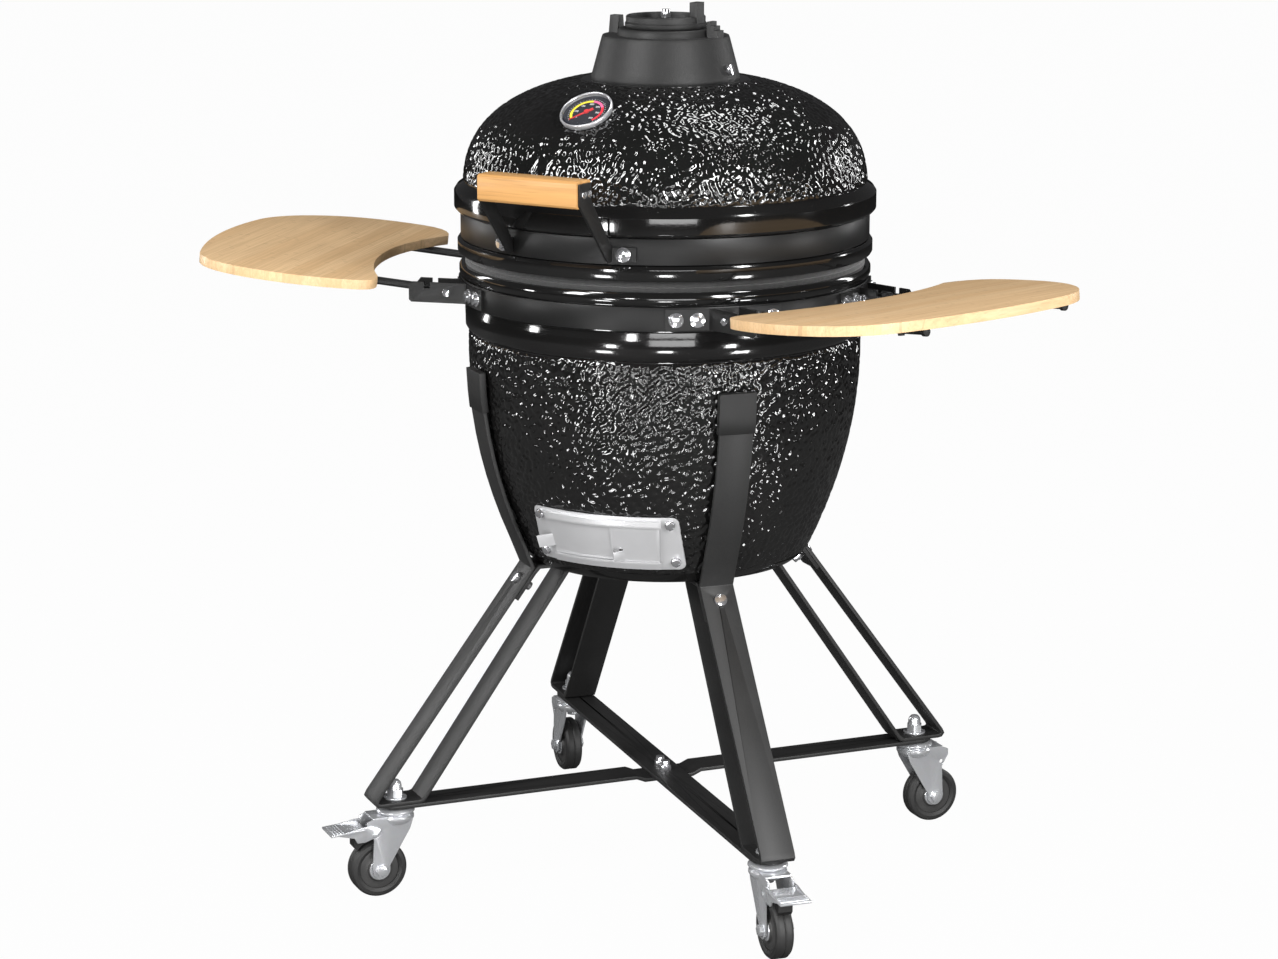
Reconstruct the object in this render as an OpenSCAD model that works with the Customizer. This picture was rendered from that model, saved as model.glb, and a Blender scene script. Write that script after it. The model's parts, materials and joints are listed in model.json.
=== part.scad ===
// Kamado ceramic grill on a four-leg rolling stand with two fold-down side shelves.
// Millimetres, +Z up, the origin on the floor under the axis of the body.
// The handle faces -Y, the hinge is at +Y, and +X is the right-hand side.

/* [Ceramic shell] */
// Largest radius of the pot under its rim
pot_max_r = 251; // [235:1:260]
// Radius that the pot loses from its full girth down to its foot
pot_taper = 70; // [55:1:80]
// Height of the pot's foot above the floor
pot_foot_z = 424; // [420:1:430]
// Wall of the ceramic
wall = 26; // [20:1:30]
// Radius of the dome where it leaves the lip
dome_r = 257; // [252:1:260]
// Rise of the dome above the height of its springing
dome_rise = 147; // [135:1:155]
// Squareness of the dome's curve, 2 is an ellipse
dome_power = 2.5; // [2.2:0.1:2.8]
// Radius of the lip that overhangs the upper band
lip_r = 270.5; // [266:0.5:274]

/* [Bands and handle] */
// Radius of the ceramic under the steel bands
groove_r = 259.7; // [258:0.1:260]
// Thickness of the steel bands
band_t = 2.5; // [2:0.5:3]
// Length of the handle bar
handle_len = 140; // [120:1:160]
// Thickness of the handle bar
handle_bar_t = 33; // [28:1:36]
// Distance of the middle of the handle bar from the body's axis
handle_y = 316.5; // [312:0.5:324]

/* [Stand] */
// Turn of the stand against the handle, seen from above
stand_turn = 6.6; // [0:0.1:10]
// Angle of the front legs from the stand's front
leg_angle = 43.5; // [42:0.5:48]
// Width of the flat bar that the legs are bent from
strap_w = 45; // [38:1:48]
// Thickness of the flat bar
strap_t = 5; // [4:0.5:6]
// Height of the legs' tops
leg_top_z = 680; // [640:1:690]
// Radius at which the caster stems stand
stem_r = 376; // [370:1:382]
// Height of the top of the foot plates
foot_z = 128; // [124:1:132]

/* [Casters] */
// Radius of the wheels
wheel_r = 37.5; // [36:0.5:38]
// Width of the tyres
wheel_w = 24; // [20:1:26]
// Distance of the axle behind the stem
caster_trail = 26; // [22:1:30]

/* [Draft door] */
// Turn of the draft door against the handle
door_turn = 8.5; // [0:0.5:10]
// Half of the width of the door's back plate
door_half_w = 98; // [92:1:102]

/* [Side shelves] */
// Direction of the shelves, measured from the front
shelf_dir = 74.2; // [72:0.1:78]
// Upward slope of the shelves in use
shelf_slope = 5.2; // [3:0.1:6]
// Half of the distance between the two rods of a shelf
rod_gap = 124.5; // [120:0.5:128]
// Thickness of the bamboo boards
board_t = 12; // [10:1:14]

/* [View] */
// The sub-part to draw

/* [Hidden] */
$fn = 72;
SMALL = 24;
EPS = 0.01;

GLAZE = [0.05, 0.05, 0.055];
SATIN = [0.13, 0.13, 0.14];
IRON = [0.16, 0.16, 0.17];
ZINC = [0.75, 0.76, 0.78];
STEEL = [0.70, 0.70, 0.71];
BAMBOO = [0.86, 0.70, 0.48];
RUBBER = [0.08, 0.08, 0.085];
FELT = [0.10, 0.10, 0.10];
CLAY = [0.55, 0.47, 0.40];

// Heights of the rings, from the pot's rim up to the dome
pot_full_z = 700;
pot_curve_h = pot_full_z - pot_foot_z;
rim_low_z = 724;
groove_low_z = 760;
ring_low_z = 792.5;
base_top_z = 808;
lid_low_z = 821;
groove_up_z = 841.5;
lip_low_z = 875.5;
lip_top_z = 902;
dome_foot_z = 900;
neck_z = 1041;
neck_r = 107.5;
base_floor_z = 452;
gasket_t = 6;
gasket_in_r = 238;
gasket_out_r = 257;
dome_wall = 24;
vent_hole_r = 82;

lower_band_z = [761, 790.5];
upper_band_z = [842.2, 874.4];
band_in_r = groove_r + 0.3;
band_out_r = band_in_r + band_t;
bracket_t = 3;
bracket_in_r = band_out_r + 0.05;

// Radius of the pot's outside and of the dome at a turn of its curve
function pot_r(z) = pot_max_r - pot_taper * pow(max(0, (pot_full_z - z) / pot_curve_h), 2);
function dome_point(t, off) = [(dome_r - off) * pow(cos(t), 2 / dome_power),
    dome_foot_z + (dome_rise - off) * pow(sin(t), 2 / dome_power)];
function dome_angle(r, off) = acos(pow(r / (dome_r - off), dome_power / 2));
function arc(r, a, b, n) = [for (i = [0:n]) let (t = a + (b - a) * i / n) r * [cos(t), sin(t)]];
function bend(p, q, r, n) = [for (i = [1:n]) let (t = i / n)
    (1 - t) * (1 - t) * p + 2 * t * (1 - t) * q + t * t * r];
function unit(v) = v / norm(v);
function left_of(v) = [-v[1], v[0]];

// Side of a bent flat bar: the path moved sideways by s, with mitred corners
function side_line(path, s) = [for (i = [0:len(path) - 1])
    let (a = i == 0 ? undef : unit(path[i] - path[i - 1]),
         b = i == len(path) - 1 ? undef : unit(path[i + 1] - path[i]),
         u = a == undef ? b : a, v = b == undef ? a : b,
         m = unit(left_of(u) + left_of(v)))
    path[i] + m * s / (m * left_of(u))];
function reversed(list) = [for (i = [len(list) - 1:-1:0]) list[i]];
function ribbon(path, t) = concat(side_line(path, t / 2), reversed(side_line(path, -t / 2)));

module bar_from(path, t, w) {
    rotate([90, 0, 0]) linear_extrude(w, center = true) polygon(ribbon(path, t));
}

// Places its children at an angle from the front, local +X pointing outward
module at_angle(a) {
    rotate([0, 0, a - 90]) children();
}

module ring(r_in, r_out, z0, z1) {
    rotate_extrude() polygon([[r_in, z0], [r_out, z0], [r_out, z1], [r_in, z1]]);
}

module band_sector(half, r_in, t, z0, z1) {
    rotate([0, 0, -half]) rotate_extrude(angle = 2 * half)
        polygon([[r_in, z0], [r_in + t, z0], [r_in + t, z1], [r_in, z1]]);
}

// ---- Ceramic body ----

base_outer = concat([[0, 432], [138, 432], [146, pot_foot_z], [176, pot_foot_z]],
    [for (z = [pot_foot_z + 6:24:rim_low_z - 6]) [pot_r(z), z]],
    [[pot_max_r, rim_low_z - 4], [254, rim_low_z - 1], [257, rim_low_z + 4],
     [257.5, 750], [255.5, 757.5], [groove_r, 759.6], [groove_r, ring_low_z],
     [262.5, 793.2], [264.5, 797], [264.5, 804], [262, base_top_z]]);
base_inner = concat([[pot_max_r - wall + 8, base_top_z]],
    [for (z = [700:-40:500]) [pot_r(z) - wall, z]],
    [[165, 462], [150, base_floor_z], [0, base_floor_z]]);
draft_half_w = 62;
draft_z = [458, 503];

module base_shell() {
    color(GLAZE) difference() {
        rotate_extrude() polygon(concat(base_outer, base_inner));
        rotate([0, 0, door_turn]) translate([-draft_half_w, -260, draft_z[0]])
            cube([2 * draft_half_w, 140, draft_z[1] - draft_z[0]]);
        at_door_bolts() door_bolt_hole();
    }
}

fire_top_z = 762;
module fire_box() {
    color(CLAY) difference() {
        rotate_extrude() polygon([[106, base_floor_z], [146, base_floor_z], [158, 470],
            [186, 560], [200, 640], [204, fire_top_z], [180, fire_top_z], [178, 640],
            [162, 560], [138, 486], [138, 477], [106, 477]]);
        rotate([0, 0, door_turn]) translate([-50, -220, 484]) cube([100, 140, 34]);
        for (i = [0:7]) rotate([0, 0, door_turn + 22.5 + 45 * i])
            translate([0, 0, 585]) rotate([90, 0, 0]) cylinder(r = 8, h = 230, $fn = SMALL);
    }
}

module charcoal_grate() {
    color(IRON) difference() {
        translate([0, 0, 477]) cylinder(r = 134, h = 8);
        for (k = [0:2], i = [0:5 + 6 * k]) rotate([0, 0, i * 360 / (6 + 6 * k)])
            translate([34 + 38 * k, 0, 476]) cylinder(r = 9, h = 10, $fn = SMALL);
    }
}

grate_r = 196;
module cooking_grate() {
    color(STEEL) {
        ring(grate_r - 6, grate_r, fire_top_z, fire_top_z + 8);
        for (i = [-9:9]) let (x = 20 * i, half = sqrt(pow(grate_r - 3, 2) - x * x))
            translate([x, half, fire_top_z + 4]) rotate([90, 0, 0])
                cylinder(r = 2.5, h = 2 * half, $fn = SMALL);
    }
}

module base_gasket() {
    color(FELT) ring(gasket_in_r, gasket_out_r, base_top_z, base_top_z + gasket_t);
}

module lower_band() {
    color(SATIN) ring(band_in_r, band_out_r, lower_band_z[0], lower_band_z[1]);
}

// ---- Bolts on the bands: a washer, a button head and a short stud ----

band_hole_r = 3;
module band_bolt(z) {
    translate([bracket_in_r + bracket_t, 0, z]) rotate([0, 90, 0]) {
        cylinder(r = 9.2, h = 1.6, $fn = 36);
        translate([0, 0, 1.6]) cylinder(r = 6.6, h = 4.4, $fn = 36);
        translate([0, 0, -bracket_t]) cylinder(r = band_hole_r, h = bracket_t + EPS, $fn = SMALL);
    }
}

lower_mid_z = (lower_band_z[0] + lower_band_z[1]) / 2;
bracket_z = [763, 789];
flange_half = 16.2;
bolt_steps = [-13.4, -7.75, 7.75, 13.4];
bracket_turn = asin(rod_gap / 266);
shelf_sides = [-1, 1];

// Right-hand shelf brackets stand at these angles, the left-hand ones mirror them
function bracket_angles() = [for (s = shelf_sides) shelf_dir + s * bracket_turn];

hinge_half = 19;
hinge_bolt_steps = [-17, -7, 7, 17];

module band_bolts() {
    color(ZINC) {
        for (side = shelf_sides, a = bracket_angles(), b = bolt_steps)
            at_angle(side * (a + b)) band_bolt(lower_mid_z);
        for (b = hinge_bolt_steps) at_angle(180 + b) band_bolt(lower_mid_z);
    }
}

// ---- Shelf brackets: a curved plate on the band with two ears ----

pivot_s = 250;
slope_rise = 798;
slope_ref = 300;
rod_r = 5;
pin_r = 2.5;
pivot_z = slope_rise - (slope_ref - pivot_s) * tan(shelf_slope)
    - (rod_r + board_t) / cos(shelf_slope);
ear_end = 300;
ear_half = 18;
notch_s = 275.5;

module shelf_frame() {
    rotate([0, 0, shelf_dir - 90]) children();
}

module ear(t, s0) {
    translate([0, t + bracket_t / 2, 0]) rotate([90, 0, 0]) linear_extrude(bracket_t)
        polygon([[s0, bracket_z[0]], [ear_end - 3, bracket_z[0]], [ear_end, bracket_z[0] + 3],
            [ear_end, bracket_z[1] - 6], [ear_end - 5, bracket_z[1]],
            [notch_s + 4, bracket_z[1]], [notch_s + 4, bracket_z[1] - 8],
            [notch_s - 4, bracket_z[1] - 8], [notch_s - 4, bracket_z[1]], [s0, bracket_z[1]]]);
}

module shelf_bracket(side) {
    turn = side * bracket_turn;
    mid = side * rod_gap;
    difference() {
        union() {
            rotate([0, 0, turn])
                band_sector(flange_half, bracket_in_r, bracket_t, bracket_z[0], bracket_z[1]);
            for (e = [-1, 1]) let (t = mid + e * (ear_half - bracket_t / 2))
                ear(t, sqrt(pow(bracket_in_r + 1.5, 2) - t * t));
        }
        for (b = bolt_steps) rotate([0, 0, turn + b])
            translate([bracket_in_r - 2, 0, lower_mid_z]) rotate([0, 90, 0])
                cylinder(r = band_hole_r, h = bracket_t + 4, $fn = SMALL);
        translate([pivot_s, mid + ear_half + 2, pivot_z]) rotate([90, 0, 0])
            cylinder(r = pin_r, h = 2 * ear_half + 4, $fn = SMALL);
    }
}

module brackets_right() {
    color(SATIN) shelf_frame() for (s = shelf_sides) shelf_bracket(s);
}

module brackets_left() {
    color(SATIN) mirror([1, 0, 0]) shelf_frame() for (s = shelf_sides) shelf_bracket(s);
}

module pins_of_side() {
    shelf_frame() for (s = shelf_sides) translate([pivot_s, s * rod_gap, pivot_z])
        rotate([90, 0, 0]) {
            cylinder(r = pin_r, h = 2 * ear_half, center = true, $fn = SMALL);
            for (e = [-1, 1]) translate([0, 0, e * (ear_half + 1)])
                cylinder(r = 4.5, h = 2, center = true, $fn = SMALL);
        }
}

module shelf_pins() {
    color(ZINC) {
        pins_of_side();
        mirror([1, 0, 0]) pins_of_side();
    }
}

// ---- Shelves ----

shelf_in_r = 376;
shelf_out_r = 598;
shelf_in_span = [-28.5, 24];
shelf_out_span = [-17, 9];
shelf_outline = concat(
    arc(shelf_in_r, shelf_in_span[0], shelf_in_span[1], 18),
    bend(arc(shelf_in_r, 24, 24, 1)[0], [352, 200], [395, 206], 5),
    bend([395, 206], [480, 214], [530, 178], 7),
    bend([530, 178], [578, 145], arc(shelf_out_r, 9, 9, 1)[0], 7),
    arc(shelf_out_r, shelf_out_span[1], shelf_out_span[0], 12),
    bend(arc(shelf_out_r, -17, -17, 1)[0], [556, -240], [459.7, -244.5], 9),
    bend([459.7, -244.5], [400, -247], [345, -224], 5),
    bend([345, -224], [318, -212], [330.4, -180.5], 5));

module tilted_shelf() {
    shelf_frame() translate([pivot_s, 0, pivot_z]) rotate([0, -shelf_slope, 0]) children();
}

screw_s = [150, 270];
board_screw_r = 2;
module board() {
    tilted_shelf() difference() {
        translate([-pivot_s, 0, rod_r]) linear_extrude(board_t) polygon(shelf_outline);
        for (s = shelf_sides, x = screw_s) translate([x, s * rod_gap, -1])
            cylinder(r = board_screw_r, h = rod_r + 9, $fn = SMALL);
    }
}

module shelf_right() {
    color(BAMBOO) board();
}

module shelf_left() {
    color(BAMBOO) mirror([1, 0, 0]) board();
}

rod_tail = 11;
rod_len = 305;
module rod_pair() {
    tilted_shelf() for (s = shelf_sides) translate([0, s * rod_gap, 0]) {
        difference() {
            rotate([0, 90, 0]) translate([0, 0, -rod_tail]) {
                cylinder(r = rod_r, h = rod_tail + rod_len, $fn = 36);
                translate([0.9, 0, rod_tail + rod_len])
                    cylinder(r = rod_r + 0.8, h = 5, $fn = 36);
            }
            rotate([90, 0, 0])
                cylinder(r = pin_r + 0.05, h = 4 * rod_r, center = true, $fn = SMALL);
        }
        for (x = screw_s) translate([x, 0, -rod_r - 2]) {
            cylinder(r = board_screw_r, h = rod_r + 11, $fn = SMALL);
            cylinder(r = 4, h = 3, $fn = SMALL);
        }
    }
}

module rods_right() {
    color(SATIN) rod_pair();
}

module rods_left() {
    color(SATIN) mirror([1, 0, 0]) rod_pair();
}

// ---- Stand ----

leg_turns = [-leg_angle, leg_angle, 180 - leg_angle, 180 + leg_angle];
bend_z = 421;
foot_r = 411;
inner_foot_r = 345;
inner_top_r = 145;
strap_gap = 7;
seat_z = pot_foot_z - strap_t / 2;
strap_mid = strap_gap + strap_t / 2;
bend_r = pot_r(bend_z + 5) + strap_mid;
leg_dir = unit([foot_r - bend_r, foot_z - bend_z]);
leg_side = [leg_dir[1], -leg_dir[0]];
leg_step = 28;
tab_off = strap_t + 0.3;
tab_start = [bend_r, bend_z] + leg_side * tab_off + leg_dir * 4;
foot_mid_z = foot_z - strap_t / 2;

leg_path = concat(
    [for (z = [leg_top_z:-leg_step:bend_z + 8]) [pot_r(z) + strap_mid, z]],
    [[bend_r, bend_z], [foot_r - 5, foot_mid_z + 9], [foot_r - 2.6, foot_mid_z + 4],
     [foot_r - 5, foot_mid_z + 0.8], [foot_r - 9, foot_mid_z],
     [inner_foot_r + 5, foot_mid_z], [inner_foot_r, foot_mid_z + 1.5],
     [inner_foot_r - 5, foot_mid_z + 8], [inner_top_r, seat_z - 10],
     [inner_top_r - 3.5, seat_z - 4], [inner_top_r, seat_z],
     [bend_r - 8.5, seat_z], tab_start, tab_start + leg_dir * 42]);
leg_bolt_at = [bend_r, bend_z] + leg_dir * 22;
bolt_hole_r = 4;
stem_hole_r = 6;

module leg_frame(i) {
    at_angle(stand_turn + leg_turns[i]) children();
}

// Local +Z points out of the leg's outer face at its bolt
module leg_bolt_frame() {
    translate([leg_bolt_at[0], 0, leg_bolt_at[1]])
        rotate([0, atan2(-leg_side[0], -leg_side[1]), 0]) children();
}

module leg(i) {
    color(SATIN) leg_frame(i) difference() {
        bar_from(leg_path, strap_t, strap_w);
        leg_bolt_frame() cylinder(r = bolt_hole_r, h = 40, center = true, $fn = SMALL);
        translate([stem_r, 0, foot_z - 10]) cylinder(r = stem_hole_r, h = 20, $fn = 36);
    }
}

module leg_fl() leg(0);
module leg_fr() leg(1);
module leg_br() leg(2);
module leg_bl() leg(3);

cap_t = 1.8;
cap_len = 50;
cap_path = [for (z = [leg_top_z + cap_t, leg_top_z - leg_step, leg_top_z - cap_len])
    [pot_r(z) + strap_mid, z]];
sleeve_path = [for (z = [leg_top_z, leg_top_z - leg_step, leg_top_z - 2 * leg_step])
    [pot_r(z) + strap_mid, z]];

module strap_caps() {
    color(RUBBER) for (i = [0:3]) leg_frame(i) difference() {
        bar_from(cap_path, strap_t + 2 * cap_t, strap_w + 2 * cap_t);
        bar_from(sleeve_path, strap_t, strap_w);
    }
}

// Button head outside, acorn nut inside
module bolt_with_nut(grip, head_r, nut_af) {
    translate([0, 0, 0]) cylinder(r = head_r, h = 4.5, $fn = 36);
    translate([0, 0, -grip - EPS]) cylinder(r = bolt_hole_r, h = grip + 2 * EPS, $fn = SMALL);
    translate([0, 0, -grip - 6.5]) cylinder(d = nut_af / cos(30), h = 6.5, $fn = 6);
    translate([0, 0, -grip - 12.5]) cylinder(r = nut_af / 2 - 0.8, h = 6.5, $fn = 36);
}

brace_z = foot_z - strap_t;
brace_bolt_step = 10.5;
module stand_bolts() {
    color(ZINC) {
        for (i = [0:3]) leg_frame(i) leg_bolt_frame() translate([0, 0, strap_t / 2])
            bolt_with_nut(strap_t + tab_off, 8, 13);
        for (s = [-1, 1]) leg_frame(1) translate([s * brace_bolt_step, 0, brace_z - 2 * strap_t])
            rotate([180, 0, 0]) bolt_with_nut(2 * strap_t, 8, 13);
    }
}

// Cross bars under the foot plates, with rounded ends round the caster stems
module brace_end(s) {
    translate([s * stem_r, 0, brace_z - strap_t]) cylinder(r = strap_w / 2, h = strap_t);
}

module brace_holes(r) {
    for (s = [-1, 1]) {
        translate([s * stem_r, 0, brace_z - 20]) cylinder(r = stem_hole_r, h = 40, $fn = 36);
        rotate([0, 0, r]) translate([s * brace_bolt_step, 0, brace_z - 20])
            cylinder(r = bolt_hole_r, h = 40, $fn = SMALL);
    }
}

cross_turn = 180 - 2 * leg_angle;
module brace_upper() {
    color(SATIN) leg_frame(1) difference() {
        union() {
            bar_from([[-stem_r, brace_z - strap_t / 2], [stem_r, brace_z - strap_t / 2]],
                strap_t, strap_w);
            for (s = [-1, 1]) brace_end(s);
        }
        brace_holes(0);
    }
}

dip_half = 34;
dip_run = 12;
module brace_lower() {
    top = brace_z - strap_t / 2;
    low = top - strap_t;
    color(SATIN) leg_frame(2) difference() {
        union() {
            bar_from([[-stem_r, top], [-dip_half - dip_run, top], [-dip_half, low],
                [dip_half, low], [dip_half + dip_run, top], [stem_r, top]], strap_t, strap_w);
            for (s = [-1, 1]) brace_end(s);
        }
        brace_holes(-cross_turn);
    }
}

// ---- Casters ----

cup_r = 25;
swivel_top_z = brace_z - strap_t;
cup_split_z = swivel_top_z - 9;
fork_top_z = swivel_top_z - 20;
axle_z = wheel_r;

module caster_stems() {
    color(ZINC) for (i = [0:3]) leg_frame(i) translate([stem_r, 0, 0]) {
        translate([0, 0, cup_split_z]) rotate_extrude() polygon([[0, 0], [cup_r - 3, 0],
            [cup_r, 2.5], [cup_r, 4.5], [cup_r - 3, 7], [12, 9], [0, 9]]);
        translate([0, 0, cup_split_z + 9 - EPS]) cylinder(r = stem_hole_r, h = 14 + foot_z
            - swivel_top_z, $fn = 36);
        translate([0, 0, cup_split_z - 16]) cylinder(r = 5, h = 16 + EPS, $fn = 36);
        translate([0, 0, cup_split_z - 19]) cylinder(r = 8, h = 3 + EPS, $fn = 36);
    }
}

module caster_nuts() {
    color(ZINC) for (i = [0:3]) leg_frame(i) translate([stem_r, 0, foot_z]) difference() {
        union() {
            cylinder(r = 15, h = 2);
            translate([0, 0, 2 - EPS]) cylinder(d = 19 / cos(30), h = 10, $fn = 6);
            translate([0, 0, 12 - 2 * EPS]) rotate_extrude()
                polygon([[0, 0], [8.5, 0], [8.5, 5], [7.5, 9], [5, 12], [2, 13], [0, 13]]);
        }
        translate([0, 0, -1]) cylinder(r = stem_hole_r, h = 15.2, $fn = 36);
    }
}

fork_in_w = wheel_w + 6;
fork_t = 2.5;
axle_r = 4;
rivet_r = 3;
rivet_at = [caster_trail + 8, 87];
module fork(i) {
    x = caster_trail;
    color(ZINC) leg_frame(i) translate([stem_r, 0, 0]) {
        difference() {
            translate([0, 0, cup_split_z - 0.4]) rotate_extrude() polygon([[5.05, 0],
                [5.05, -4], [14, -11], [cup_r - 4, -11], [cup_r - 1, -6], [cup_r - 1, -3],
                [cup_r - 4, 0]]);
        }
        for (s = [-1, 1]) translate([0, s * (fork_in_w + fork_t) / 2 + fork_t / 2, 0])
            rotate([90, 0, 0]) linear_extrude(fork_t) difference() {
                polygon([[-14, fork_top_z + 10], [-18, fork_top_z + 4], [-14, fork_top_z - 8],
                    [x - 11, axle_z + 4], [x - 10, axle_z - 6], [x - 4, axle_z - 11],
                    [x + 4, axle_z - 11], [x + 10, axle_z - 5], [x + 11, axle_z + 6],
                    [x + 9, fork_top_z - 18], [x + 18, fork_top_z - 2],
                    [x + 18, fork_top_z + 6], [x + 8, fork_top_z + 10]]);
                translate(rivet_at) circle(r = rivet_r + 0.05, $fn = SMALL);
            }
        difference() {
            translate([-14, -fork_in_w / 2 - fork_t, fork_top_z + 8])
                cube([x + 24, fork_in_w + 2 * fork_t, fork_t]);
            translate([0, 0, fork_top_z]) cylinder(r = 13.5, h = 20);
        }
        translate([x, fork_in_w / 2 + fork_t + 5, axle_z]) rotate([90, 0, 0]) {
            cylinder(r = axle_r, h = fork_in_w + 2 * fork_t + 10, $fn = 36);
            for (h = [0, fork_in_w + 2 * fork_t + 5]) translate([0, 0, h])
                cylinder(d = 13 / cos(30), h = 5, $fn = 6);
        }
    }
}

module fork_fl() fork(0);
module fork_fr() fork(1);
module fork_br() fork(2);
module fork_bl() fork(3);

module wheel_frame(i) {
    leg_frame(i) translate([stem_r + caster_trail, 0, axle_z]) rotate([90, 0, 0]) children();
}

tyre_in_r = 26;
module tyre(i) {
    w = wheel_w / 2;
    color(RUBBER) wheel_frame(i) rotate_extrude() polygon([[tyre_in_r, -w + 2],
        [wheel_r - 7, -w], [wheel_r - 2.5, -w + 1], [wheel_r, -w + 4], [wheel_r, -1.4],
        [wheel_r - 1.4, 0], [wheel_r, 1.4], [wheel_r, w - 4], [wheel_r - 2.5, w - 1],
        [wheel_r - 7, w], [tyre_in_r, w - 2]]);
}

module hub(i) {
    w = wheel_w / 2;
    color(ZINC) wheel_frame(i) rotate_extrude() polygon([[axle_r + 0.05, -w - 1],
        [15, -w - 1], [16.5, -w + 2], [20, -w + 3], [tyre_in_r, -w + 3], [tyre_in_r, w - 3],
        [20, w - 3], [16.5, w - 2], [15, w + 1], [axle_r + 0.05, w + 1]]);
}

module tyre_fl() tyre(0);
module tyre_fr() tyre(1);
module tyre_br() tyre(2);
module tyre_bl() tyre(3);
module hub_fl() hub(0);
module hub_fr() hub(1);
module hub_br() hub(2);
module hub_bl() hub(3);

// Foot brake: two riveted arms outside the fork, a tread plate and a block over the tyre
brake_x = caster_trail + 24;
brake_z = fork_top_z - 12;
brake_in_w = fork_in_w + 2 * fork_t + 1;
pad_w = 18;
tread_w = brake_in_w + 5;
module brake(i) {
    color(ZINC) leg_frame(i) translate([stem_r, 0, 0]) rotate([90, 0, 0]) {
        for (s = [-1, 1]) translate([0, 0, s * (brake_in_w / 2 + 1)]) {
            linear_extrude(2, center = true) polygon([[brake_x - 22, brake_z + 9],
                [brake_x - 24, brake_z + 4], [brake_x - 20, brake_z - 1],
                [brake_x - 2, brake_z - 7], [brake_x + 8, brake_z - 7],
                [brake_x + 12, brake_z], [brake_x + 34, brake_z + 5.5],
                [brake_x + 34, brake_z + 7], [brake_x, brake_z + 13],
                [brake_x - 12, brake_z + 13]]);
            translate([rivet_at[0], rivet_at[1], -s])
                cylinder(r = rivet_r, h = 7, center = true, $fn = SMALL);
        }
        linear_extrude(tread_w, center = true) polygon([[brake_x - 3, brake_z + 8],
            [brake_x + 43, brake_z + 5], [brake_x + 43, brake_z + 7.5],
            [brake_x - 3, brake_z + 10.5]]);
        linear_extrude(pad_w, center = true) polygon([[brake_x - 4, 75], [brake_x + 6, 66],
            [brake_x + 9, 70], [brake_x + 9, brake_z + 8.5], [brake_x - 1, brake_z + 9]]);
    }
}

module brake_fl() brake(0);
module brake_fr() brake(1);

// ---- Draft door on the pot's foot ----

plate_low = [195.5, 446];
plate_high = [222.6, 519];
plate_t = 1.6;
plate_lean = (plate_high[0] - plate_low[0]) / (plate_high[1] - plate_low[1]);
function plate_r(z) = plate_low[0] + (z - plate_low[1]) * plate_lean;

// A strip of the rolled plate: offset from its inner face, heights and turn
module cone_strip(off, t, z0, z1, a0, a1) {
    rotate([0, 0, a0 - 90]) rotate_extrude(angle = a1 - a0)
        polygon([[plate_r(z0) + off, z0], [plate_r(z0) + off + t, z0],
            [plate_r(z1) + off + t, z1], [plate_r(z1) + off, z1]]);
}

rail_half = 20.5;
rail_z = [[447, 453], [508, 514]];
rail_lip = 4;
sheet_z = [453.4, 507.6];
sheet_t = 1;
rear_off = plate_t + 0.5;
front_off = rear_off + sheet_t + 0.5;
lip_off = front_off + sheet_t + 0.5;
door_bolt_x = 87;
door_bolt_z = [457, 509];
door_bolt_r = 2.5;
door_bolt_len = 13.5;
plate_lean_deg = atan(plate_lean);
plate_corner_r = 8;

// Places its children on the plate's outer face, local +Z along the face's normal
module at_door_bolts() {
    rotate([0, 0, door_turn]) for (x = [-1, 1], z = door_bolt_z)
        rotate([0, 0, x * asin(door_bolt_x / plate_r(z)) - 90])
            translate([plate_r(z) + plate_t, 0, z]) rotate([0, 90 + plate_lean_deg, 0]) children();
}

module door_bolt_hole() {
    translate([0, 0, -door_bolt_len - 1])
        cylinder(r = door_bolt_r, h = door_bolt_len + 6, $fn = SMALL);
}

module plate_outline() {
    r = plate_corner_r;
    h = plate_high[1] - plate_low[1];
    translate([-door_half_w, r]) square([2 * door_half_w, h - 2 * r]);
    translate([r - door_half_w, 0]) square([2 * (door_half_w - r), h]);
    for (x = [r - door_half_w, door_half_w - r], y = [r, h - r]) translate([x, y]) circle(r = r);
}

module door_frame() {
    color(STEEL) difference() {
        rotate([0, 0, door_turn]) difference() {
            intersection() {
                cone_strip(0, plate_t, plate_low[1] - 2, plate_high[1] + 2, -35, 35);
                translate([0, -100, plate_low[1]]) rotate([90, 0, 0]) linear_extrude(160)
                    plate_outline();
            }
            cone_strip(-4, 12, draft_z[0], draft_z[1], -16.5, 16.5);
        }
        at_door_bolts() door_bolt_hole();
    }
    color(STEEL) rotate([0, 0, door_turn]) {
        for (r = rail_z) cone_strip(plate_t - EPS, lip_off - plate_t + 1.4, r[0], r[1],
            -rail_half, rail_half);
        cone_strip(lip_off, 1.4, rail_z[0][1] - EPS, rail_z[0][1] + rail_lip,
            -rail_half, rail_half);
        cone_strip(lip_off, 1.4, rail_z[1][0] - rail_lip, rail_z[1][0] + EPS,
            -rail_half, rail_half);
    }
}

washer_z = 0.12;
module door_bolts() {
    color(ZINC) at_door_bolts() {
        translate([0, 0, -door_bolt_len])
            cylinder(r = door_bolt_r, h = door_bolt_len + washer_z + EPS, $fn = SMALL);
        translate([0, 0, washer_z]) cylinder(r = 6.5, h = 1, $fn = 36);
        translate([0, 0, washer_z + 0.9]) cylinder(d = 10 / cos(30), h = 4, $fn = 6);
    }
}

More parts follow.
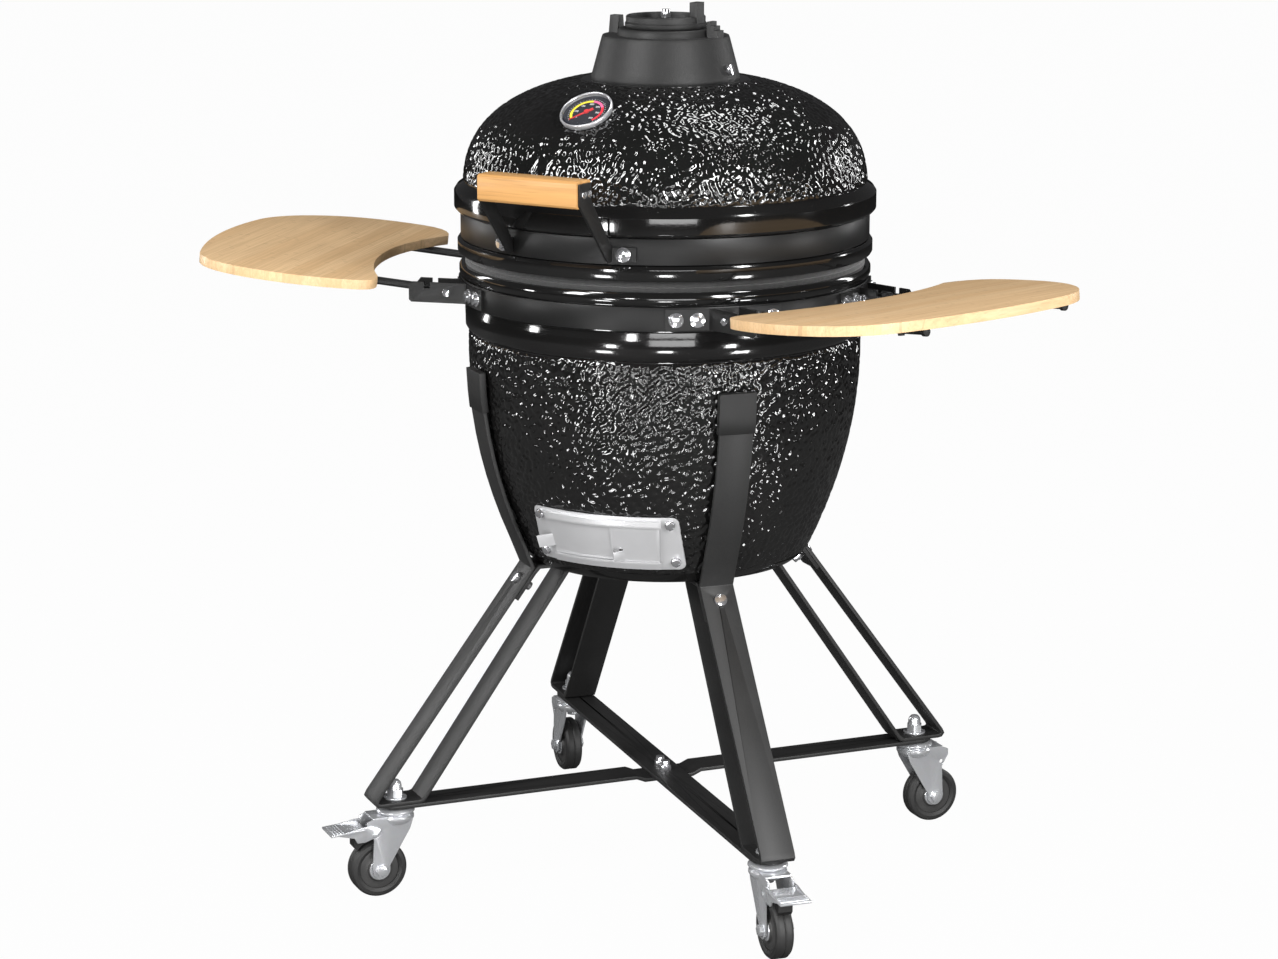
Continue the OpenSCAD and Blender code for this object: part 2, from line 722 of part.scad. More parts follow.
seam = 3.4;
tab_z = [467, 459.5];
module door_left() {
    color(STEEL) rotate([0, 0, door_turn]) {
        cone_strip(rear_off, sheet_t, sheet_z[0], sheet_z[1], -20.3, seam + 2.6);
        rotate([0, 0, -20.3 - 90]) translate([plate_r(tab_z[0]) + rear_off, 0, tab_z[0]])
            rotate([0, plate_lean_deg, 0]) rotate([0, 0, 35]) translate([0, -21, 0])
                cube([1.1, 21.7, 17]);
    }
}

module door_right() {
    color(STEEL) rotate([0, 0, door_turn]) {
        difference() {
            cone_strip(front_off, sheet_t, sheet_z[0], sheet_z[1], seam, 20);
            cone_strip(front_off - 1, 4, 459, 474, seam + 0.6, seam + 4);
        }
        rotate([0, 0, seam + 4.2 - 90]) translate([plate_r(tab_z[1]) + front_off, 0, tab_z[1]])
            rotate([0, plate_lean_deg, 0]) rotate([0, 0, 32]) translate([0, -14, 0])
                cube([1.1, 14.7, 14]);
    }
}

// ---- Lid ----

gauge_z = 1013.5;
gauge_lean = 33.2;
gauge_y = dome_r * pow(1 - pow((gauge_z - dome_foot_z) / dome_rise, dome_power), 1 / dome_power);
module gauge_frame() {
    translate([0, -gauge_y, gauge_z]) rotate([gauge_lean, 0, 0]) children();
}

neck_angle = dome_angle(neck_r, 0);
inner_angle = dome_angle(vent_hole_r, dome_wall);
lid_outline = concat(
    [[dome_r - dome_wall, lid_low_z], [262, lid_low_z], [265, lid_low_z + 1.5],
     [266.5, 825], [266.5, 837], [264, 840.8], [groove_r, 841.4], [groove_r, lip_low_z],
     [267, lip_low_z + 0.6], [lip_r, 880], [lip_r, lip_top_z - 2], [267, 905.5],
     [258, 911.5]],
    [for (i = [0:13]) dome_point(3 + (neck_angle - 3) * i / 13, 0)],
    [[neck_r - 1, neck_z], [vent_hole_r, neck_z]],
    [for (i = [13:-1:0]) dome_point(inner_angle * i / 13, dome_wall)]);

module lid_shell() {
    color(GLAZE) difference() {
        rotate_extrude() polygon(lid_outline);
        gauge_frame() cylinder(r = 5, h = 120, center = true, $fn = 36);
    }
}

module lid_gasket() {
    color(FELT) ring(gasket_in_r, gasket_out_r, lid_low_z - gasket_t, lid_low_z);
}

module upper_band() {
    color(SATIN) ring(band_in_r, band_out_r, upper_band_z[0], upper_band_z[1]);
}

handle_bolt_turn = 19;
handle_bolt_z = 855.3;
handle_mid_z = 935.5;
bar_chamfer = 3;
screw_y = [-6, 6];
handle_plate_t = 3;

module handle_bar() {
    h = handle_bar_t / 2;
    c = bar_chamfer;
    color(BAMBOO) translate([0, -handle_y, handle_mid_z]) difference() {
        rotate([90, 0, 90]) linear_extrude(handle_len, center = true) polygon([[-h + c, -h],
            [h - c, -h], [h, -h + c], [h, h - c], [h - c, h], [-h + c, h], [-h, h - c],
            [-h, -h + c]]);
        for (s = [-1, 1], y = screw_y) translate([s * (handle_len / 2 - 10), y, 0])
            rotate([0, 90, 0]) cylinder(r = 2, h = 30, center = true, $fn = SMALL);
    }
}

module handle_bracket_r() {
    x0 = handle_len / 2;
    foot_y = sqrt(pow(bracket_in_r + 1, 2) - pow(x0 + 1, 2));
    color(SATIN) difference() {
        union() {
            translate([x0, 0, 0]) rotate([90, 0, 90]) linear_extrude(handle_plate_t)
                polygon([[-handle_y - 13, handle_mid_z - 13], [-handle_y - 13, handle_mid_z + 13],
                    [-handle_y + 13, handle_mid_z + 13], [-handle_y + 13, handle_mid_z - 8],
                    [-foot_y - 4, 866], [-foot_y, 864], [-foot_y, 846.5], [-foot_y - 8, 845],
                    [-foot_y - 14, 850]]);
            at_angle(handle_bolt_turn) band_sector(3.4, bracket_in_r, bracket_t, 846.5, 864);
        }
        at_angle(handle_bolt_turn) translate([bracket_in_r - 2, 0, handle_bolt_z])
            rotate([0, 90, 0]) cylinder(r = band_hole_r, h = 8, $fn = SMALL);
        for (y = screw_y) translate([x0 - 5, -handle_y + y, handle_mid_z]) rotate([0, 90, 0])
            cylinder(r = 2, h = 20, $fn = SMALL);
    }
}

module handle_bracket_l() mirror([1, 0, 0]) handle_bracket_r();

module handle_screws() {
    color(ZINC) for (s = [-1, 1], y = screw_y) translate([0, -handle_y + y, handle_mid_z])
        rotate([0, s * 90, 0]) translate([0, 0, handle_len / 2]) {
            translate([0, 0, -15]) cylinder(r = 2, h = 16 + handle_plate_t, $fn = SMALL);
            translate([0, 0, handle_plate_t]) cylinder(r = 4.2, h = 2.6, $fn = 36);
        }
}

upper_mid_z = (upper_band_z[0] + upper_band_z[1]) / 2;
module lid_bolts() {
    color(ZINC) {
        for (s = [-1, 1]) at_angle(s * handle_bolt_turn) band_bolt(handle_bolt_z);
        for (b = hinge_bolt_steps) at_angle(180 + b) band_bolt(upper_mid_z);
    }
}

// ---- Hinge at the back ----

hinge_y = 302;
hinge_z = 813;
hinge_pin_r = 5;
hinge_eye_r = 12;
ear_x = [52, 60];

module hinge_ears(x, outline) {
    for (s = [-1, 1]) translate([s * x - 1.5, 0, 0]) rotate([90, 0, 90])
        linear_extrude(bracket_t) union() {
            polygon(outline);
            translate([hinge_y, hinge_z]) circle(r = hinge_eye_r);
        }
}

module hinge_holes(z, pin_hole) {
    for (b = hinge_bolt_steps) at_angle(180 + b) translate([bracket_in_r - 2, 0, z])
        rotate([0, 90, 0]) cylinder(r = band_hole_r, h = bracket_t + 4, $fn = SMALL);
    translate([0, hinge_y, hinge_z]) rotate([0, 90, 0])
        cylinder(r = pin_hole, h = 200, center = true, $fn = 36);
}

module hinge_lower() {
    y0 = sqrt(pow(bracket_in_r + 1, 2) - pow(ear_x[1], 2));
    color(SATIN) difference() {
        union() {
            at_angle(180) band_sector(hinge_half, bracket_in_r, bracket_t, 762, 789.5);
            hinge_ears(ear_x[1], [[y0, 763], [y0, 788.5], [275, 796], [hinge_y - 11.4, 816],
                [hinge_y + 10, 806], [hinge_y - 4, 785], [275, 763]]);
        }
        hinge_holes(lower_mid_z, hinge_pin_r);
    }
}

module hinge_upper() {
    y0 = sqrt(pow(bracket_in_r + 1, 2) - pow(ear_x[0], 2));
    color(SATIN) difference() {
        union() {
            at_angle(180) band_sector(hinge_half, bracket_in_r, bracket_t, 844, 872.5);
            hinge_ears(ear_x[0], [[y0, 846], [y0, 871], [276, 871], [hinge_y + 2, 843],
                [hinge_y + 11.8, hinge_z + 2], [hinge_y - 11.8, hinge_z - 2],
                [hinge_y - 18, 840], [272, 848]]);
        }
        hinge_holes(upper_mid_z, hinge_pin_r + 0.05);
    }
}

module hinge_pin() {
    color(ZINC) translate([0, hinge_y, hinge_z]) rotate([0, 90, 0]) {
        cylinder(r = hinge_pin_r, h = 2 * ear_x[1] + 8, center = true, $fn = 36);
        for (s = [-1, 1]) translate([0, 0, s * (ear_x[1] + 4.5)])
            cylinder(r = 8, h = 5, center = true, $fn = 36);
    }
}

// ---- Top vent ----

cone_low = [94.5, neck_z];
cone_high = [80.4, 1096];
cone_wall = 5;
deck_z = 1105;
deck_r = 60;
hole_ring = 31;
hole_r = 11;
hole_count = 6;
stud_r = 4;
vent_bolt_z = 1056;
vent_flat = 4;
vent_lean = atan((cone_low[0] - cone_high[0] - 1.2) / (cone_high[1] - cone_low[1] - vent_flat - 3));
vent_bolt_at = cone_low[0] - (vent_bolt_z - cone_low[1] - vent_flat) * tan(vent_lean);

// Places its children on the cone's face, local +Z along the face's normal
module at_vent_bolts() {
    for (turn = [0, 180]) rotate([0, 0, turn]) translate([vent_bolt_at, 0, vent_bolt_z])
        rotate([0, 90 - vent_lean, 0]) children();
}

module air_holes(z, h) {
    for (i = [0:hole_count - 1]) rotate([0, 0, i * 360 / hole_count]) translate([hole_ring, 0, z])
        cylinder(r = hole_r, h = h, $fn = 36);
}

module vent_base() {
    color(IRON) difference() {
        union() {
            rotate_extrude() polygon([[cone_low[0] - 8, neck_z], cone_low,
                [cone_low[0], neck_z + vent_flat], [cone_high[0] + 1.2, cone_high[1] - 3],
                [cone_high[0], cone_high[1]], [deck_r + 2, cone_high[1]], [deck_r, deck_z - 1.5],
                [deck_r - 1.5, deck_z], [0, deck_z], [0, deck_z - 5], [deck_r - 6, deck_z - 5],
                [deck_r - 6, cone_high[1] - 6], [cone_high[0] - 7, cone_high[1] - 6]]);
            for (i = [0:2]) let (x = 64 + 5 * i, h = 20 - 5.5 * i)
                translate([x, -8, cone_high[1] - 1]) cube([5.5, 16, h + 1]);
            translate([-79, -9, cone_high[1] - 1]) rotate([90, 0, 90]) linear_extrude(13)
                polygon([[0, 0], [18, 0], [14.5, 23], [3.5, 23]]);
        }
        air_holes(deck_z - 20, 40);
        translate([0, 0, deck_z - 20]) cylinder(r = stud_r, h = 40, $fn = 36);
        at_vent_bolts() cylinder(r = band_hole_r, h = 30, center = true, $fn = SMALL);
    }
}

module vent_bolts() {
    color(ZINC) at_vent_bolts() {
        translate([0, 0, -7]) cylinder(r = band_hole_r, h = 7.2, $fn = SMALL);
        translate([0, 0, 0.1]) cylinder(r = 6.5, h = 4.4, $fn = 36);
    }
}

wheel_low_z = deck_z + 0.3;
wheel_floor_z = wheel_low_z + 5;
wheel_top_z = 1121;
cap_r = 50.6;
module vent_wheel() {
    color(IRON) difference() {
        union() {
            rotate_extrude() polygon([[0, wheel_low_z], [cap_r, wheel_low_z],
                [cap_r + 1.4, wheel_low_z + 3], [cap_r + 1.4, wheel_low_z + 6],
                [cap_r, wheel_low_z + 8], [cap_r, wheel_top_z - 1.5], [cap_r - 1.5, wheel_top_z],
                [cap_r - 5, wheel_top_z], [cap_r - 6, wheel_floor_z], [12, wheel_floor_z],
                [9, wheel_top_z - 3], [0, wheel_top_z - 3]]);
            for (i = [0:hole_count - 1]) rotate([0, 0, (i + 0.5) * 360 / hole_count])
                translate([8, -2, wheel_floor_z - 1]) cube([cap_r - 12, 4, 5]);
            translate([cap_r - 11, -9, wheel_top_z - 10]) cube([11, 18, 28]);
        }
        air_holes(wheel_low_z - 5, 12);
        translate([0, 0, wheel_low_z - 5]) cylinder(r = stud_r + 0.05, h = 40, $fn = 36);
    }
}

module vent_stud() {
    color(ZINC) {
        translate([0, 0, deck_z - 12]) cylinder(r = stud_r, h = wheel_top_z - deck_z + 16,
            $fn = 36);
        translate([0, 0, wheel_top_z - 2.6]) cylinder(d = 13 / cos(30), h = 6, $fn = 6);
        translate([0, 0, wheel_top_z + 3.3]) cylinder(r = 5.4, h = 4, $fn = 36);
        translate([0, 0, deck_z - 11]) cylinder(d = 13 / cos(30), h = 6, $fn = 6);
    }
}

// ---- Thermometer on the dome ----

gauge_r = 34;
dial_r = 31.2;
dial_h = 4.2;
module gauge_case() {
    color(ZINC) gauge_frame() {
        rotate_extrude() polygon([[0, 0.4], [gauge_r - 4, 0.4], [gauge_r - 1, 2.5], [gauge_r, 6],
            [gauge_r - 0.7, 9], [gauge_r - 1.9, 9.6], [dial_r, 8.2], [dial_r, dial_h - 1],
            [0, dial_h - 1]]);
        translate([0, 0, -60]) cylinder(r = 3, h = 61, $fn = SMALL);
        translate([0, 0, -32]) cylinder(r = 5, h = 33, $fn = 36);
        translate([0, 0, -38]) cylinder(d = 16 / cos(30), h = 7, $fn = 6);
    }
}

module gauge_dial() {
    color([0.06, 0.06, 0.07]) gauge_frame() difference() {
        translate([0, 0, dial_h - 1]) cylinder(r = dial_r - 0.1, h = 1);
        translate([0, 0, dial_h - 2]) cylinder(r = 2.2, h = 4, $fn = SMALL);
    }
}

needle_turn = 135;
module gauge_needle() {
    color([0.75, 0.08, 0.06]) gauge_frame() rotate([0, 0, needle_turn + 90]) {
        translate([0, 0, dial_h + 0.4]) {
            linear_extrude(0.8) polygon([[0, -1.6], [24, -0.5], [24, 0.5], [0, 1.6],
                [-9, 2.2], [-9, -2.2]]);
            cylinder(r = 3.2, h = 1.8, $fn = SMALL);
        }
        translate([0, 0, dial_h - 0.9]) cylinder(r = 2, h = 1.5, $fn = SMALL);
    }
}

base_shell();
fire_box();
charcoal_grate();
cooking_grate();
base_gasket();
lower_band();
leg_fl();
leg_fr();
leg_br();
leg_bl();
strap_caps();
stand_bolts();
brace_upper();
brace_lower();
door_frame();
door_bolts();
brackets_left();
brackets_right();
band_bolts();
hinge_lower();
hinge_pin();
shelf_pins();
caster_stems();
caster_nuts();
lid_shell();
lid_gasket();
upper_band();
handle_bar();
handle_bracket_l();
handle_bracket_r();
handle_screws();
lid_bolts();
hinge_upper();
vent_base();
vent_bolts();
vent_stud();
gauge_case();
gauge_dial();
gauge_needle();
vent_wheel();
door_left();
door_right();
shelf_left();
shelf_right();
rods_left();
rods_right();
fork_fl();
fork_fr();
fork_br();
fork_bl();
tyre_fl();
tyre_fr();
tyre_br();
tyre_bl();
hub_fl();
hub_fr();
hub_br();
hub_bl();
brake_fl();
brake_fr();
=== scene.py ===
"""Looks of a kamado ceramic grill: pebbled black glaze, bamboo, powder-coated steel, zinc."""
import json
import math

import bmesh
import bpy
import numpy as np
from mathutils import Matrix, Vector

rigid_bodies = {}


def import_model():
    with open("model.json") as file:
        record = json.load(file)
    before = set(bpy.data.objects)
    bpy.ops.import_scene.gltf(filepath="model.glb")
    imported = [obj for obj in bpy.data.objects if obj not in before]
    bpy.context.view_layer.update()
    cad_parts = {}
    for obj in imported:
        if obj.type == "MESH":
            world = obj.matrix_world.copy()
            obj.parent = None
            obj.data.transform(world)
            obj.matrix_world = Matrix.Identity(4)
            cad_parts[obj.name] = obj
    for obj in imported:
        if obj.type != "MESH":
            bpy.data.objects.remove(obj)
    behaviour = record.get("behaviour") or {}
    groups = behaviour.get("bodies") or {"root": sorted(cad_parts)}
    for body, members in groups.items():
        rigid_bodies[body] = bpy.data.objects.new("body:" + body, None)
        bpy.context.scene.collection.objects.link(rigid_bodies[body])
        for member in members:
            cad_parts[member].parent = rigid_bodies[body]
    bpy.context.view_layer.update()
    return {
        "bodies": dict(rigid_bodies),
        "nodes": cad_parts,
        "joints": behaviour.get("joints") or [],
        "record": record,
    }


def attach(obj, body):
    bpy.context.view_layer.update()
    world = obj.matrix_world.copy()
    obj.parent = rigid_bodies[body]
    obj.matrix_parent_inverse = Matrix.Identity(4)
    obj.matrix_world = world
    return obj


MM = 0.001
SEED = 11

# Ceramic shells, in millimetres, as in the CAD source
POT_R, POT_TAPER, POT_FULL_Z, POT_CURVE_H = 251.0, 70.0, 700.0, 276.0
POT_RELIEF_Z = (434.0, 721.5)
DOME_R, DOME_RISE, DOME_FOOT_Z, DOME_POWER = 257.0, 147.0, 900.0, 2.5
DOME_RELIEF_START, NECK_R = 908.5, 106.0
DRAFT_TURN, DRAFT_HALF_W, DRAFT_Z = 8.5, 62.0, (457.0, 504.0)
DOOR_HALF_W, DOOR_Z, DOOR_RADIUS = 100.0, (443.0, 522.0), 215.0
POT_POINTS, DOME_POINTS = 200, 400

# Pebbled relief of the glaze, in millimetres
PEBBLE_SIZE, PEBBLE_WAVES = 8.6, 64
PEBBLE_SPREAD = (0.8, 1.25)
PEBBLE_GAIN, PEBBLE_BIAS = 0.95, 0.35
RELIEF_FOOT = 0.45
RELIEF_DEPTH = 2.0
DOOR_RELIEF_DEPTH = 0.7
RELIEF_COLUMNS = 860
RELIEF_STEP = 1.9
RELIEF_FADE = 6.0
RELIEF_TUCK = 1.2

# Camera that the view was taken with
CAMERA_AT = Vector((2.133, -3.707, 1.498))
CAMERA_TURN, CAMERA_PITCH, CAMERA_ROLL = 30.53, 13.03, 0.09
CAMERA_LENS, CAMERA_SENSOR, CAMERA_SHIFT = 94.5, 36.0, (0.0079, 0.0049)
CAMERA_CLIP = (0.1, 200.0)

# Edges: weld distance in millimetres, angles in degrees
WELD_GAP = 0.004
BEVEL_ANGLE, SHARP_ANGLE = 38, 32

# Turn in degrees from the object's frame to a shelf board's own
SHELF_TURN = 90.0 - 74.2

# Casters, in millimetres from the stem and the floor
AXLE_AT = (26.0, 37.5)
TREAD_START, TREAD_HIGH, TREAD_FALL = 47.0, 97.1, 3.0 / 46.0
RIDGE_START, RIDGE_STEP, RIDGE_COUNT = 76.0, 4.0, 4
PAD_OUTLINE = ((45.5, 75.0), (56.0, 65.5), (59.5, 70.0), (59.5, 94.0), (45.5, 94.0))
PAD_HALF_W = 9.4
RIDGE_SIZE = (1.3, 37.0, 1.0)
HUB_DISC = ((5.2, 12.9), (14.2, 12.9), (13.4, 13.7), (8.0, 13.9), (5.2, 13.9))

# Thermometer, in millimetres from the middle of the dial
DIAL_LOW, DIAL_SWEEP = 225.0, -270.0
ARC_RADII, ARC_HEIGHT = (18.6, 21.8), 0.5
ARCS = (
    ("yellow", (0.90, 0.72, 0.03), 0.0, 0.50),
    ("pink", (0.88, 0.13, 0.30), 0.50, 0.72),
    ("red", (0.75, 0.01, 0.03), 0.72, 1.0),
)
MARK_COUNT, MARK_LONG_EVERY, MARK_RADIUS, MARK_LIFT = 31, 5, 23.8, 0.25
MARK_LONG, MARK_SHORT, MARK_THICK = (2.6, 0.45), (1.4, 0.28), 0.4
NUMBER_COUNT, NUMBER_STEP, NUMBER_RADIUS, NUMBER_LIFT = 7, 50, 15.0, 0.35
NUMBER_SIZE, NUMBER_THICK = 3.9, 0.12
LENS_RADIUS, LENS_EDGE, LENS_RISE, LENS_THICK = 29.6, 3.7, 1.5, 0.8
LENS_RINGS, LENS_COLUMNS = 5, 48

# Floor, in metres, and the tones of floor and sky
FLOOR_RADIUS, FLOOR_TONE, FLOOR_GLOW, FLOOR_SHARE = 40.0, 0.10, 1.03, 0.95
SKY_TINT, SKY_SEEN = (0.05, 0.05, 0.052, 1.0), (1.0, 1.0, 1.0, 1.0)

# Points that the lights aim at, in metres
AIM_BODY, AIM_DOOR, AIM_STAND = Vector((0, 0, 0.75)), Vector((0, 0, 0.55)), Vector((0, 0, 0.4))

FRONT_CORNERS, CORNERS = ("fl", "fr"), ("fl", "fr", "br", "bl")


# ---- Shader helper ----

class Graph:
    """A material's node tree with short ways to add nodes and join them."""

    def __init__(self, name, **sockets):
        self.mat = bpy.data.materials.new(name)
        self.mat.use_nodes = True
        self.tree = self.mat.node_tree
        self.shader = self.tree.nodes["Principled BSDF"]
        self.coords = self.tree.nodes.new("ShaderNodeTexCoord").outputs["Object"]
        self.feed(self.shader, sockets)

    def feed(self, node, inputs):
        for key, value in inputs.items():
            name = key.replace("_", " ") if isinstance(key, str) else key
            socket = node.inputs[name]
            if isinstance(value, bpy.types.NodeSocket):
                self.tree.links.new(value, socket)
            else:
                socket.default_value = value

    def add(self, kind, output=0, settings=None, **inputs):
        node = self.tree.nodes.new("ShaderNode" + kind)
        for key, value in (settings or {}).items():
            setattr(node, key, value)
        self.feed(node, inputs)
        return node.outputs[output]

    def math(self, operation, a, b=0.0, clamp=False):
        node = self.tree.nodes.new("ShaderNodeMath")
        node.operation, node.use_clamp = operation, clamp
        self.feed(node, {0: a, 1: b})
        return node.outputs[0]

    def noise(self, scale, detail=3.0, rough=0.5, vector=None):
        return self.add("TexNoise", 0, None, Vector=vector or self.coords, Scale=scale,
                        Detail=detail, Roughness=rough)

    def stretched(self, scale, vector=None):
        return self.add("Mapping", 0, None, Vector=vector or self.coords, Scale=scale)

    def ramp(self, value, *stops):
        """A colour ramp through (position, colour) stops."""
        node = self.tree.nodes.new("ShaderNodeValToRGB")
        band = node.color_ramp
        while len(band.elements) < len(stops):
            band.elements.new(0.5)
        for element, (place, colour) in zip(band.elements, stops):
            element.position = place
            element.color = (*colour, 1.0)
        self.feed(node, {0: value})
        return node.outputs[0]

    def span(self, value, low, high):
        """Maps a 0 to 1 value to the span from low to high."""
        return self.math("ADD", self.math("MULTIPLY", value, high - low), low)

    def mix(self, factor, a, b, blend="MIX"):
        node = self.tree.nodes.new("ShaderNodeMix")
        node.data_type, node.blend_type = "RGBA", blend
        for index, value in ((0, factor), (6, a), (7, b)):
            if isinstance(value, bpy.types.NodeSocket):
                self.tree.links.new(value, node.inputs[index])
            elif index:
                node.inputs[index].default_value = (*value, 1.0)
            else:
                node.inputs[index].default_value = value
        return node.outputs[2]

    def bump(self, height, distance, strength=1.0, normal=None):
        inputs = {"Height": height, "Distance": distance, "Strength": strength}
        if normal is not None:
            inputs["Normal"] = normal
        return self.add("Bump", 0, None, **inputs)

    def finish(self, **sockets):
        self.feed(self.shader, sockets)
        return self.mat


def grey(value, warmth=0.0):
    return (value * (1 + warmth), value, value * (1 - warmth))


# ---- Materials ----

def glaze(name, roughness, peel):
    """Deep black glaze: orange peel, pinholes and faint dust over a hard gloss."""
    g = Graph(name, Specular_IOR_Level=0.55, Coat_Weight=0.35, Coat_Roughness=0.03)
    cloud = g.noise(9.0, 4.0)
    peel_height = g.noise(190.0, 2.0)
    pits = g.add("TexVoronoi", 0, None, Vector=g.coords, Scale=140.0)
    pinhole = g.math("LESS_THAN", pits, 0.06)
    skin = g.bump(peel_height, peel * MM)
    skin = g.bump(g.math("SUBTRACT", 1.0, pinhole), 0.15 * MM, 0.35, skin)
    base = g.mix(cloud, grey(0.0035), grey(0.009, 0.03))
    dust = g.ramp(g.noise(420.0, 5.0, 0.7), (0.66, (0, 0, 0)), (0.80, (1, 1, 1)))
    base = g.mix(g.math("MULTIPLY", dust, 0.15), base, grey(0.05, 0.02))
    return g.finish(Base_Color=base, Roughness=g.span(cloud, roughness * 0.7, roughness * 1.5),
                    Normal=skin)


def powder_coat(name, low, high, roughness, grain=900.0, depth=0.035, shine=0.5):
    """Textured powder coat with rubbed patches and a little settled dust."""
    g = Graph(name, Specular_IOR_Level=shine)
    broad = g.noise(14.0, 5.0, 0.6)
    fine = g.noise(grain, 2.0, 0.6)
    speck = g.ramp(fine, (0.35, grey(low)), (0.75, grey(high, 0.01)))
    worn = g.ramp(broad, (0.35, (0, 0, 0)), (0.85, (1, 1, 1)))
    colour = g.mix(g.math("MULTIPLY", worn, 0.35), speck, grey(high * 1.25, 0.015))
    rough = g.math("ADD", g.span(broad, roughness - 0.06, roughness + 0.08),
                   g.math("MULTIPLY", fine, 0.06))
    return g.finish(Base_Color=colour, Roughness=rough,
                    Normal=g.bump(fine, depth * MM, 0.8, g.bump(g.noise(40.0, 1.0), 0.012 * MM)))


def cast_iron(name, low=0.006, high=0.014):
    """Sand-cast iron: coarse grain, soft lumps and a dull seasoned sheen."""
    g = Graph(name, Specular_IOR_Level=0.45)
    lumps = g.noise(70.0, 4.0, 0.6)
    grain = g.noise(620.0, 3.0, 0.65)
    pits = g.add("TexVoronoi", 0, None, Vector=g.coords, Scale=330.0)
    colour = g.mix(lumps, grey(low), grey(high, 0.02))
    normal = g.bump(lumps, 0.45 * MM, 0.7)
    normal = g.bump(grain, 0.22 * MM, 0.9, normal)
    normal = g.bump(pits, 0.10 * MM, 0.5, normal)
    return g.finish(Base_Color=colour, Roughness=g.span(grain, 0.42, 0.66), Normal=normal)


def brushed(name, tint, low, high, direction, blur=0.0, metallic=1.0):
    """Brushed or rolled bright metal with fine lines along one direction."""
    g = Graph(name, Metallic=metallic)
    lines = g.noise(1.0, 3.0, 0.7, g.stretched(direction))
    smear = g.noise(22.0, 4.0, 0.55)
    colour = g.mix(smear, tuple(c * 0.86 for c in tint), tint)
    rough = g.math("ADD", g.span(lines, low, high), g.math("MULTIPLY", smear, 0.08 + blur))
    return g.finish(Base_Color=colour, Roughness=rough, Normal=g.bump(lines, 0.004 * MM, 0.5))


def plated(name, tint=(0.72, 0.73, 0.75), rough=0.16, metallic=1.0):
    """Zinc or nickel plate: soft spangle, handling marks and dull spots."""
    g = Graph(name, Metallic=metallic)
    spangle = g.add("TexVoronoi", 1, None, Vector=g.coords, Scale=260.0)
    smear = g.noise(60.0, 3.0, 0.5)
    scratch = g.noise(1.0, 2.0, 0.6, g.stretched((500.0, 160.0, 900.0)))
    colour = g.mix(0.03, tint, spangle, "MULTIPLY")
    colour = g.mix(g.math("MULTIPLY", smear, 0.25), colour, tuple(c * 0.8 for c in tint))
    return g.finish(Base_Color=colour, Roughness=g.span(smear, rough * 0.8, rough * 1.3),
                    Normal=g.bump(scratch, 0.004 * MM, 0.4, g.bump(smear, 0.01 * MM, 0.4)))


def rubber(name, low=0.012, high=0.024, roughness=0.52, grain=900.0):
    g = Graph(name, Specular_IOR_Level=0.4)
    fine = g.noise(grain, 3.0, 0.6)
    broad = g.noise(40.0, 4.0)
    colour = g.mix(broad, grey(low), grey(high, 0.02))
    return g.finish(Base_Color=colour, Roughness=g.span(broad, roughness - 0.1, roughness + 0.15),
                    Normal=g.bump(fine, 0.08 * MM, 0.8))


def felt(name):
    g = Graph(name, Sheen_Weight=0.4, Sheen_Roughness=0.5)
    fibre = g.noise(1800.0, 4.0, 0.75)
    clump = g.noise(160.0, 3.0)
    return g.finish(Base_Color=g.mix(clump, grey(0.012), grey(0.035)), Roughness=0.95,
                    Normal=g.bump(fibre, 0.35 * MM, 1.0, g.bump(clump, 0.5 * MM)))


def fired_clay(name):
    g = Graph(name)
    grit = g.noise(500.0, 4.0, 0.7)
    cloud = g.noise(18.0, 5.0)
    colour = g.mix(cloud, (0.33, 0.27, 0.21), (0.52, 0.44, 0.35))
    soot = g.ramp(g.noise(7.0, 4.0), (0.5, (0, 0, 0)), (0.75, (1, 1, 1)))
    colour = g.mix(g.math("MULTIPLY", soot, 0.4), colour, grey(0.06))
    return g.finish(Base_Color=colour, Roughness=g.span(grit, 0.78, 0.95),
                    Normal=g.bump(grit, 0.3 * MM))


